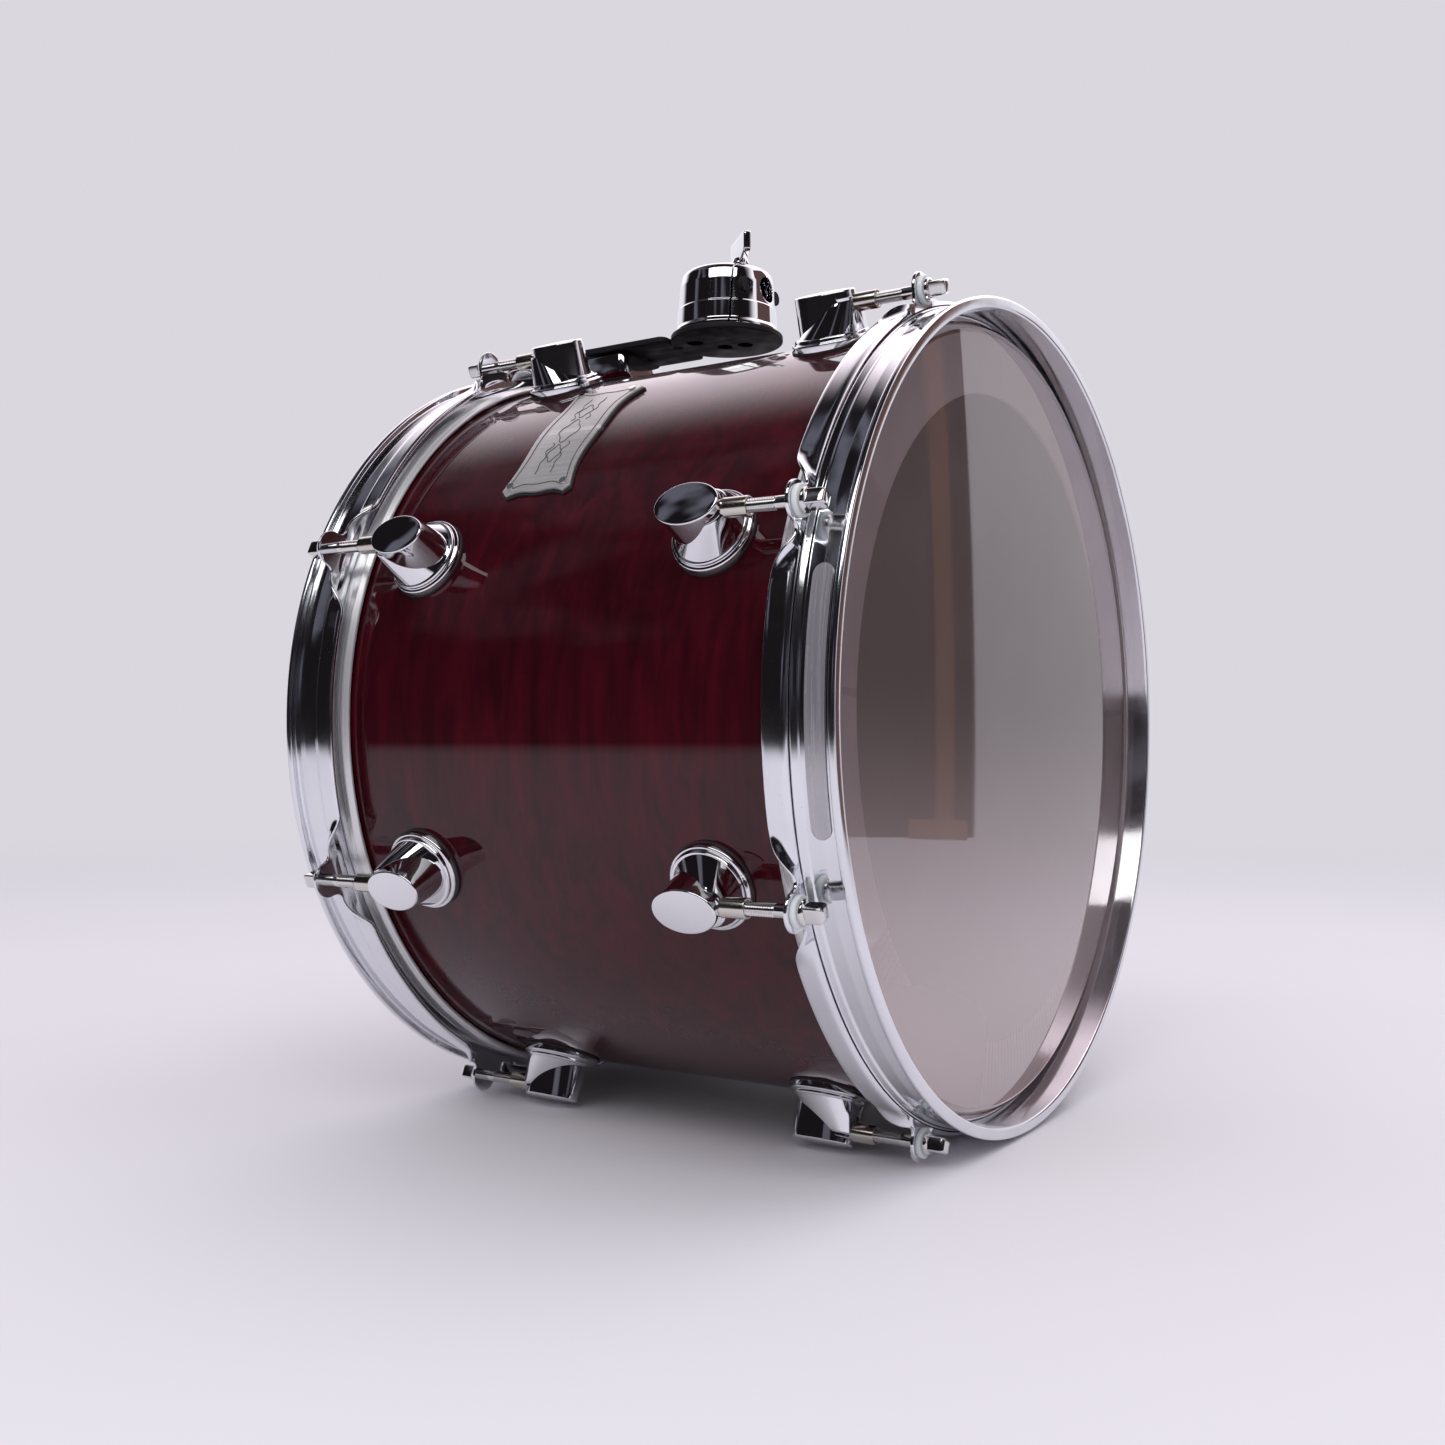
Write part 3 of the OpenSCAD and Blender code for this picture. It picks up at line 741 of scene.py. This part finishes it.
def swivel_nuts():
    """Nickel nuts with a chamfered end and a dark mouth round the thread."""
    start, end = nuts_low.x, nuts_high.x
    profile = rounded(
        [
            (2.72 * MM, start, 0), (NUT_R, start, 0), (NUT_R, end, 0.45 * MM),
            (3.2 * MM, end, 0.15 * MM), (2.72 * MM, end - 0.6 * MM, 0.1 * MM),
        ],
        3,
    )
    first = spin("nut", profile, MATERIALS["nickel"], ON_ROD, 48)
    at_every_rod(first, "swivel_nut", ON_ROD, "nickel_steel", "swivel_nuts")


def nylon_washers():
    """White washers between the ears and the rods' flanges."""
    start, end = nylon_low.x, nylon_high.x
    outer, inner, soft = 6.25 * MM, 3.0 * MM, 0.5 * MM
    corners = [(inner, start, 0), (outer, start, soft), (outer, end, soft), (inner, end, 0.3 * MM)]
    first = spin("washer", rounded(corners, 3), MATERIALS["nylon"], ON_ROD, 64)
    at_every_rod(first, "nylon_washer", ON_ROD, "white_nylon", "nylon_washers")


def thread_rings(start, end, radius, pitch, depth, steps=28):
    """Rings along Z of a screw thread that fades out at its end."""
    per_pitch = 8
    rings = []
    count = round((end - start) / pitch * per_pitch)
    for k in range(count + 1):
        z = start + (end - start) * k / count
        fade = smoothstep((end - z) / (1.2 * pitch))
        ring = []
        for j in range(steps):
            a = 2 * math.pi * j / steps
            phase = (z / pitch - a / (2 * math.pi)) % 1
            cut = depth * (0.5 + 0.5 * math.cos(2 * math.pi * phase)) * fade
            ring.append(((radius - cut) * math.cos(a), (radius - cut) * math.sin(a), z))
        rings.append(ring)
    return rings


def tension_rod():
    """Rod in its own frame, with Z along it away from the drum's middle."""
    radius = 2.62 * MM
    start = rod_low.x
    thread_from = nuts_high.x - 3 * MM
    thread_to = nuts_high.x + 12.4 * MM
    seat = nylon_high.x + 0.05 * MM
    bm = bmesh.new()
    steps = 28
    angles = [2 * math.pi * j / steps for j in range(steps)]
    rings = [[(radius * math.cos(a), radius * math.sin(a), start) for a in angles]]
    crest_r, pitch, depth = 2.7 * MM, 1.058 * MM, 0.62 * MM
    rings += thread_rings(thread_from, thread_to, crest_r, pitch, depth, steps)
    rings.append([(radius * math.cos(a), radius * math.sin(a), seat + 1 * MM) for a in angles])
    capped_skin(bm, rings)
    flange = rounded(
        [(0, seat, 0), (4.9 * MM, seat, 0.3 * MM), (4.9 * MM, seat + 1.5 * MM, 0.6 * MM),
         (3.7 * MM, seat + 2.2 * MM, 0.5 * MM), (0, seat + 2.2 * MM, 0)], 3)
    spin_into(bm, flange, 48)
    half, corner = 3.17 * MM, 0.75 * MM
    signs = ((1, 1), (-1, 1), (-1, -1), (1, -1))
    square = rounded([(half * x, half * y, corner) for x, y in signs], 4)
    foot, length = seat + 1.8 * MM, rod_high.x - seat - 1.8 * MM
    rows = []
    for rise, share in ((0, 1), (0.72, 1), (0.84, 0.97), (0.93, 0.88), (0.98, 0.74), (1, 0.55)):
        rows.append([(x * share, y * share, foot + length * rise) for x, y in square])
    capped_skin(bm, rows)
    return finish_mesh(bm, "rod", MATERIALS["steel"], sharp=48)


def rods():
    """Sixteen rods, each riding on its own body."""
    first = tension_rod()
    for side in SIDES:
        for i in range(1, RODS + 1):
            body = f"{side}_rod_{i}"
            rod = copy_of(first, f"{side}_tension_rod_{i}", at_rod(side, i) @ ON_ROD)
            settle(rod, "chrome_cast", body, body=body)
    bpy.data.objects.remove(first)


# Badge and vent


def badge_outline(grow):
    """Ogee sides and ends between four pointed corners, as points. It grows by millimetres."""
    half_w, half_l = 18.5, 40.0
    sides = []
    for i in range(25):
        share = i / 12 - 1
        t = math.pi * share / 2
        wide = half_w + grow - 3 * math.cos(t) + 1.1 * math.cos(3 * t)
        sides.append((wide, share * (half_l - 3 + grow)))
    ends = []
    for i in range(17):
        t = 1 - i / 8
        a = math.pi * t / 2
        ends.append((t * (half_w - 3), half_l + grow - 2 * math.cos(a) + 0.8 * math.cos(3 * a)))
    half = sides + ends
    return [Vector((x * MM, y * MM)) for x, y in half + [(-x, -y) for x, y in half]]


BADGE_TURN = math.radians(45.3)
BADGE_X = (badge_low.x + badge_high.x) / 2
BADGE_R = SHELL_R + 1 * MM


def bend(obj, radius, centre_x):
    """Bends a flat plate, with Y across and Z up, round the drum and puts it at the badge's place."""
    bm = bmesh.new()
    bm.from_mesh(obj.data)
    for k in range(-24, 25):
        geometry = bm.verts[:] + bm.edges[:] + bm.faces[:]
        bmesh.ops.bisect_plane(bm, geom=geometry, plane_co=(0, k * 1.75 * MM, 0), plane_no=(0, 1, 0))
    for vert in bm.verts:
        x, y, z = vert.co
        turn = BADGE_TURN - y / radius
        r = radius + z
        vert.co = (centre_x + x, -r * math.sin(turn), AXIS_Z + r * math.cos(turn))
    bm.to_mesh(obj.data)
    bm.free()


def badge():
    """Brushed plate on a rubber gasket."""
    none = Matrix.Identity(4)
    plate = slab("badge_face", badge_outline(0), [], 1.2 * MM, 0.25 * MM, MATERIALS["badge"], none)
    bend(plate, BADGE_R, BADGE_X)
    settle(plate, "brushed_plate", "badge_plate")
    gasket = slab("badge_pad", badge_outline(0.9), [], 1.0 * MM, 0.2 * MM, MATERIALS["rubber"], none)
    bend(gasket, SHELL_R, BADGE_X)
    settle(gasket, "black_rubber", "badge_gasket")


def engraving():
    """Thin dark lines on the badge: an inner border, and three plain lozenges with waves."""
    lines = []
    inner = badge_outline(0)
    lines.append([(0.83 * p.x, 0.90 * p.y) for p in inner] + [(0.83 * inner[0].x, 0.90 * inner[0].y)])
    for centre, size in ((-16, 5.0), (0, 7.5), (16, 5.0)):
        points = []
        for k in range(49):
            a = 2 * math.pi * k / 48
            r = size * (1 + 0.16 * math.cos(4 * a)) * MM
            points.append((0.62 * r * math.cos(a), centre * MM + r * math.sin(a)))
        lines.append(points)
    for shift in (-4.2, 4.2):
        for reach in (-1, 1):
            wave = []
            for k in range(41):
                t = k / 40
                y = reach * (8.5 + 20 * t) * MM
                wave.append(((shift + 1.5 * math.sin(5 * math.pi * t) * (1 - t)) * MM, y))
            lines.append(wave)
    curve = bpy.data.curves.new("badge_engraving", "CURVE")
    curve.dimensions = "3D"
    curve.bevel_depth = 0.22 * MM
    curve.bevel_resolution = 2
    top = BADGE_R + 1.2 * MM
    for points in lines:
        spline = curve.splines.new("POLY")
        spline.points.add(len(points) - 1)
        for point, (x, y) in zip(spline.points, points):
            turn = BADGE_TURN - y / BADGE_R
            point.co = (BADGE_X + x, -top * math.sin(turn), AXIS_Z + top * math.cos(turn), 1)
    curve.materials.append(MATERIALS["engraving"])
    obj = bpy.data.objects.new("badge_engraving", curve)
    scene.collection.objects.link(obj)
    settle(obj, "brushed_plate")


def vent():
    """Eyelet with a rolled flange."""
    profile = rounded(
        [
            (4.8 * MM, BORE_R - 1 * MM, 0.3 * MM), (5.5 * MM, BORE_R - 1 * MM, 0.3 * MM),
            (5.5 * MM, SHELL_R, 0), (9 * MM, SHELL_R, 0.3 * MM), (8.8 * MM, SHELL_R + 0.9 * MM, 0.6 * MM),
            (6.4 * MM, SHELL_R + 1.25 * MM, 0.6 * MM), (4.8 * MM, SHELL_R + 0.6 * MM, 0.5 * MM),
        ]
    )
    obj = spin("vent_eyelet", profile, MATERIALS["chrome_cast"], at_turn(VENT_TURN), 96)
    settle(obj, "chrome_cast", "vent_grommet")


# Mount

PLATE_Z = plate_low.z
PLATE_T = plate_high.z - plate_low.z
RECEIVER_X = (receiver_low.x + cap_high.x) / 2
RECEIVER_Z = receiver_low.z
RECEIVER_H = receiver_high.z - receiver_low.z
SPLIT_X = (receiver_high.x + cap_low.x) / 2
STEM_X = RECEIVER_X + 8 * MM
BORE_Z = AXIS_Z + 218 * MM
ISOLATOR_XS = [(foot_low.x + foot_high.x) / 2 + s * 8 * MM for s in (-1, 1)]


def bracket():
    """Black steel plate: a disc under the receiver and an arm back to the foot."""
    disc_r = plate_high.x - RECEIVER_X
    half, back = 20 * MM, plate_low.x
    neck_x = RECEIVER_X - 26 * MM
    corners = [(back, -half, 6 * MM), (neck_x, -half, 14 * MM)]
    start, half_sweep = math.radians(205), math.radians(155)
    for k in range(61):
        a = start + 2 * half_sweep * k / 60
        corners.append((RECEIVER_X + disc_r * math.cos(a), disc_r * math.sin(a), 0))
    corners += [(neck_x, half, 14 * MM), (back, half, 6 * MM)]
    outline = rounded(corners)
    holes = [circle(x, 0, 5.05 * MM) for x in ISOLATOR_XS]
    holes.append(circle(RECEIVER_X - 26.5 * MM, -5.8 * MM, 2.6 * MM, 32))
    place = Matrix.Translation((0, 0, PLATE_Z))
    plate = slab("bracket_plate", outline, holes, PLATE_T, 0.55 * MM, MATERIALS["black_steel"], place)
    settle(plate, "black_steel", "mount_bracket")


def foot():
    """Chrome block with round edges, hollowed to sit on the shell, narrower below."""
    x0, x1 = foot_low.x, foot_high.x
    chrome = MATERIALS["chrome_cast"]
    half_w, stem = foot_high.y, 12 * MM
    top = foot_high.z
    middle = (x0 + x1) / 2
    long = (x1 - x0) / 2

    def outline(half_l, half_y, radius):
        return rounded([(middle - half_l, -half_y, radius), (middle + half_l, -half_y, radius),
                        (middle + half_l, half_y, radius), (middle - half_l, half_y, radius)], 6)

    waist = AXIS_Z + SHELL_R + 7 * MM
    levels = [
        (AXIS_Z + SHELL_R - 6 * MM, long, stem, 3), (waist - 2.5 * MM, long, stem, 3),
        (waist - 0.6 * MM, long, half_w - 2 * MM, 4), (waist + 0.6 * MM, long, half_w, 5),
        (top - 1.2 * MM, long, half_w, 5), (top - 0.35 * MM, long - 0.3 * MM, half_w - 0.3 * MM, 4.8),
        (top, long - 1.1 * MM, half_w - 1.1 * MM, 4.2),
    ]
    bm = bmesh.new()
    capped_skin(bm, [[(x, y, z) for x, y in outline(a, b, r * MM)] for z, a, b, r in levels])
    obj = finish_mesh(bm, "mount_foot_block", chrome, sharp=30)
    under = DRUM @ Matrix.Translation((x0 - 10 * MM, 0, 0)) @ ALONG_X
    seat = rod_cutter("seat_cutter", SHELL_R + GASKET_T, x1 - x0 + 20 * MM, under, 360)
    combine(obj, seat, "DIFFERENCE", 30)
    settle(obj, "chrome_cast", "mount_foot")


def receiver_blank(name):
    """The receiver before it is split: a flared base, a low tier, a ring step and a dome."""
    scale = RECEIVER_H / (33 * MM)
    corners = [
        (0, 0, 0), (26.5, 0, 0.4), (26.8, 1.6, 0.8), (25.7, 3.4, 1.6), (25.3, 12.2, 0.5), (24.8, 12.9, 0.4),
        (24.2, 24, 8), (22.9, 31.2, 4.5), (16.5, 32.9, 4), (8, 33, 2), (0, 33, 0),
    ]
    profile = rounded([(r * MM, h * MM * scale, f * MM) for r, h, f in corners], 6)
    place = Matrix.Translation((RECEIVER_X, 0, RECEIVER_Z))
    return spin(name, profile, MATERIALS["chrome_cast"], place, 192, 30)


def receiver():
    """Body and cap on either side of the split, with the arm's bore through both."""
    reach = 45 * MM
    low_z, high_z = RECEIVER_Z - 5 * MM, RECEIVER_Z + RECEIVER_H + 5 * MM
    cuts = {
        "receiver_body": ((SPLIT_X - 0.4 * MM, -reach, low_z), (RECEIVER_X + reach, reach, high_z)),
        "receiver_cap": ((RECEIVER_X - reach, -reach, low_z), (SPLIT_X + 0.4 * MM, reach, high_z)),
    }
    for node, (low, high) in cuts.items():
        part = receiver_blank(node.replace("receiver", "arm_receiver"))
        combine(part, block("half", low, high), "DIFFERENCE", 30)
        bore = Matrix.Translation((RECEIVER_X - reach, 0, BORE_Z)) @ ALONG_X
        combine(part, rod_cutter("arm_bore", 6.45 * MM, 2 * reach, bore), "DIFFERENCE", 30)
        if node == "receiver_body":
            stem = Matrix.Translation((STEM_X, 0, BORE_Z))
            combine(part, rod_cutter("stem_hole", 3.1 * MM, reach, stem, 48), "DIFFERENCE", 30)
        else:
            for y in (-14.5, 14.5):
                hole = Matrix.Translation((SPLIT_X + 3 * MM, y * MM, BORE_Z)) @ ALONG_X
                combine(part, rod_cutter("cap_screw_hole", 3.8 * MM, reach, hole, 48), "DIFFERENCE", 30)
        soften(part, 0.35 * MM)
        settle(part, "chrome_cast", node)


def soften(obj, width):
    """Rounds the sharp edges a little, so that they catch the light."""
    bevel = obj.modifiers.new("soften", "BEVEL")
    bevel.width = width
    bevel.segments = 2
    bevel.limit_method = "ANGLE"
    bevel.angle_limit = math.radians(40)
    bake(obj)
    obj.data.set_sharp_from_angle(angle=math.radians(30))


def wing():
    """Flat wing on a threaded stem, turned as it was tightened."""
    foot_z = wing_low.z
    top = wing_high.z - foot_z - 1.6 * MM
    wing_h = 13 * MM
    turned = Matrix.Translation((STEM_X, 0, foot_z)) @ Matrix.Rotation(math.radians(-43), 4, "Z")
    bm = bmesh.new()
    crest_r, pitch, depth = 2.95 * MM, 1.25 * MM, 0.6 * MM
    capped_skin(bm, thread_rings(0, top - wing_h - 0.5 * MM, crest_r, pitch, depth))
    collar_at = top - wing_h - 3.4 * MM
    collar = [
        (0, collar_at, 0), (3.4 * MM, collar_at, 0.3 * MM), (4.6 * MM, collar_at + 3 * MM, 1 * MM),
        (3.6 * MM, collar_at + 6 * MM, 1.2 * MM), (0, collar_at + 6.5 * MM, 0),
    ]
    spin_into(bm, rounded(collar, 4), 48)
    stem = finish_mesh(bm, "wing_stem", MATERIALS["chrome_cast"], turned, 48)
    settle(stem, "chrome_cast", "wing_screw", body="wing_screw")
    half, low = 13.5 * MM, -0.6 * MM
    outline = rounded([(-4.5 * MM, low, 1 * MM), (4.5 * MM, low, 1 * MM), (half, 3 * MM, 2.5 * MM),
                       (half, wing_h, 1.6 * MM), (-half, wing_h, 1.6 * MM), (-half, 3 * MM, 2.5 * MM)])
    upright = turned @ Matrix.Translation((0, 1.9 * MM, top - wing_h)) @ Matrix.Rotation(math.pi / 2, 4, "X")
    blade = slab("wing_blade", outline, [], 3.8 * MM, 0.7 * MM, MATERIALS["chrome_cast"], upright)
    settle(blade, "chrome_cast", body="wing_screw")


# CAD nodes that keep their own shape

NODE_MATERIALS = {
    "batter_damping_ring": "frosted_film", "hoop_label": "label",
    "batter_lug_gaskets": "rubber", "resonant_lug_gaskets": "rubber",
    "lug_screws": "steel", "lug_screw_washers": "black_steel", "badge_screws": "steel",
    "mount_foot_gasket": "rubber", "mount_foot_screws": "steel", "mount_foot_washers": "black_steel",
    "bracket_isolators": "rubber", "bracket_bolts": "chrome_cast",
    "receiver_screws": "black_steel", "receiver_cap_screws": "black_steel",
}


def paint_nodes():
    """Gives the pieces that come from the CAD model their materials."""
    for node, material in NODE_MATERIALS.items():
        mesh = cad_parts[node].data
        mesh.materials.clear()
        mesh.materials.append(MATERIALS[material])


# Studio


def card(name, centre, size, facing, strength, colour):
    """A faintly glowing panel that the camera doesn't see but the head reflects."""
    bm = bmesh.new()
    bmesh.ops.create_grid(bm, x_segments=1, y_segments=1, size=0.5)
    bmesh.ops.scale(bm, verts=bm.verts, vec=(size[0], size[1], 1))
    material = bpy.data.materials.new(name)
    material.use_nodes = True
    tree = material.node_tree
    tree.nodes.clear()
    glow = tree.nodes.new("ShaderNodeEmission")
    glow.inputs["Color"].default_value = (*colour, 1)
    glow.inputs["Strength"].default_value = strength
    output = tree.nodes.new("ShaderNodeOutputMaterial")
    tree.links.new(glow.outputs[0], output.inputs["Surface"])
    way = (Vector(facing) - Vector(centre)).to_track_quat("Z", "Y").to_matrix().to_4x4()
    obj = finish_mesh(bm, name, material, Matrix.Translation(centre) @ way)
    obj.visible_camera = False
    return obj


def softbox(name, centre, facing, size, power):
    """A rectangular white light."""
    light = bpy.data.lights.new(name, "AREA")
    light.shape = "RECTANGLE"
    light.size, light.size_y = size
    light.energy = power
    obj = bpy.data.objects.new(name, light)
    scene.collection.objects.link(obj)
    way = (Vector(centre) - Vector(facing)).to_track_quat("Z", "Y").to_matrix().to_4x4()
    obj.matrix_world = Matrix.Translation(centre) @ way
    return obj


def studio():
    """A pale floor and surround, a dark room behind the camera, and soft lights above."""
    bm = bmesh.new()
    bmesh.ops.create_grid(bm, x_segments=1, y_segments=1, size=40)
    floor = finish_mesh(bm, "floor", MATERIALS["paper"])
    world = bpy.data.worlds.new("studio")
    scene.world = world
    world.use_nodes = True
    world.node_tree.nodes["Background"].inputs["Color"].default_value = (*BACKDROP, 1)
    surround()
    side_room()
    softbox("key", (0.55, -1.6, 1.9), (0, 0, 0.2), (2.5, 0.9), 20)
    softbox("top", (0.9, 0.6, 2.2), (0, 0, 0.2), (1.8, 1.2), 9).visible_glossy = False
    scene.view_settings.view_transform = "Standard"


def surround():
    """A dome that only light and reflections see: pale behind the object, dark elsewhere."""
    bm = bmesh.new()
    bmesh.ops.create_uvsphere(bm, u_segments=64, v_segments=32, radius=4)
    paint = Paint("surround")
    way = paint.node("ShaderNodeVectorMath", {0: paint.where}, operation="NORMALIZE").outputs["Vector"]
    axes = paint.node("ShaderNodeSeparateXYZ", {0: way}).outputs
    backdrop = paint.mix(paint.soft(axes["Z"], 0.06, 0.45), (*BACKDROP, 1), (0.92, 0.90, 0.96, 1))
    patches = paint.soft(paint.noise(3.2, 2, way), 0.54, 0.66)
    reach = paint.between(axes["Z"], 0.02, 0.30, 0.0, 1.0)
    lit = paint.calculate("MULTIPLY", patches, reach)
    room = paint.mix(lit, (0.010, 0.008, 0.010, 1), (0.12, 0.12, 0.15, 1))
    low = paint.between(axes["Z"], 0.60, 0.88, 1.0, 0.0, "SMOOTHSTEP")
    pale = paint.calculate("MULTIPLY", paint.soft(axes["Y"], -0.10, 0.20), low)
    glow = paint.calculate("MULTIPLY", paint.soft(axes["Y"], 0.0, 0.42), paint.soft(axes["Z"], 0.40, 0.62))
    colour = paint.mix(glow, paint.mix(pale, room, backdrop), (1.8, 1.58, 1.7, 1))
    paint.surface(paint.node("ShaderNodeEmission", {"Color": colour}))
    dome = finish_mesh(bm, "surround", paint.material)
    dome.visible_camera = dome.visible_diffuse = dome.visible_shadow = dome.visible_transmission = False
    dark_floor()


def dark_floor():
    """Floor in shade behind the camera, which only reflections see. Its near edge is soft."""
    bm = bmesh.new()
    bmesh.ops.create_grid(bm, x_segments=1, y_segments=1, size=4)
    paint = Paint("dark_floor")
    away = paint.node("ShaderNodeSeparateXYZ", {0: paint.where}).outputs["Y"]
    clear = paint.node("ShaderNodeBsdfTransparent")
    shade = paint.node("ShaderNodeEmission", {"Color": (0.012, 0.011, 0.012, 1)})
    layers = {0: paint.soft(away, 3.4, 4.0), 1: shade.outputs[0], 2: clear.outputs[0]}
    paint.surface(paint.node("ShaderNodeMixShader", layers))
    shaded = finish_mesh(bm, "dark_floor", paint.material, Matrix.Translation((0, -4.9, 0.002)))
    shaded.visible_camera = shaded.visible_diffuse = shaded.visible_shadow = False
    shaded.visible_transmission = False


def side_room():
    """What the head reflects: the backdrop's edge, and beyond it a dark room with a wooden frame.

    Places are angles in degrees from +Y, as seen by the camera's mirror image in the head.
    """
    eye = Vector((2 * HALF_LEN - CAMERA_AT[0], CAMERA_AT[1], 0))

    def spot(angle, distance):
        turn = math.radians(angle)
        return eye + distance * Vector((math.sin(turn), math.cos(turn), 0))

    def panel(name, angle_a, angle_b, distance, low, high, strength, colour):
        a, b = spot(angle_a, distance), spot(angle_b, distance)
        centre = (a + b) / 2 + Vector((0, 0, (low + high) / 2))
        size = ((b - a).length, high - low)
        made = card(name, centre, size, eye + Vector((0, 0, centre.z)), strength, colour)
        made.visible_diffuse = made.visible_shadow = made.visible_transmission = False

    panel("room_side", 23.6, 60, 2.85, 0.0, 2.4, 0.11, (1, 0.60, 0.56))
    panel("frame_post", 24.8, 25.9, 2.8, 0.0, 1.5, 0.26, (1, 0.50, 0.34))
    panel("frame_foot", 24.0, 27.4, 2.75, 0.0, 0.04, 0.30, (1, 0.55, 0.38))


CAMERA_AT = (0.3829, -0.6398, 0.1688)


def camera():
    """The photo's camera, in the drum's frame."""
    data = bpy.data.cameras.new("camera")
    data.lens = 36.96
    data.sensor_width = 36
    data.clip_start = 0.01
    obj = bpy.data.objects.new("camera", data)
    scene.collection.objects.link(obj)
    yaw, tilt, roll = math.radians(32.56), math.radians(91.37), math.radians(0.26)
    way = Matrix.Rotation(yaw, 4, "Z") @ Matrix.Rotation(tilt, 4, "X") @ Matrix.Rotation(roll, 4, "Z")
    obj.matrix_world = Matrix.Translation(CAMERA_AT) @ way
    scene.camera = obj


camera()
studio()
shell()
for head in SIDES:
    film(head)
    flesh_hoop(head)
    hoop(head)
lugs()
swivel_nuts()
nylon_washers()
rods()
badge()
engraving()
vent()
bracket()
foot()
receiver()
wing()
paint_nodes()
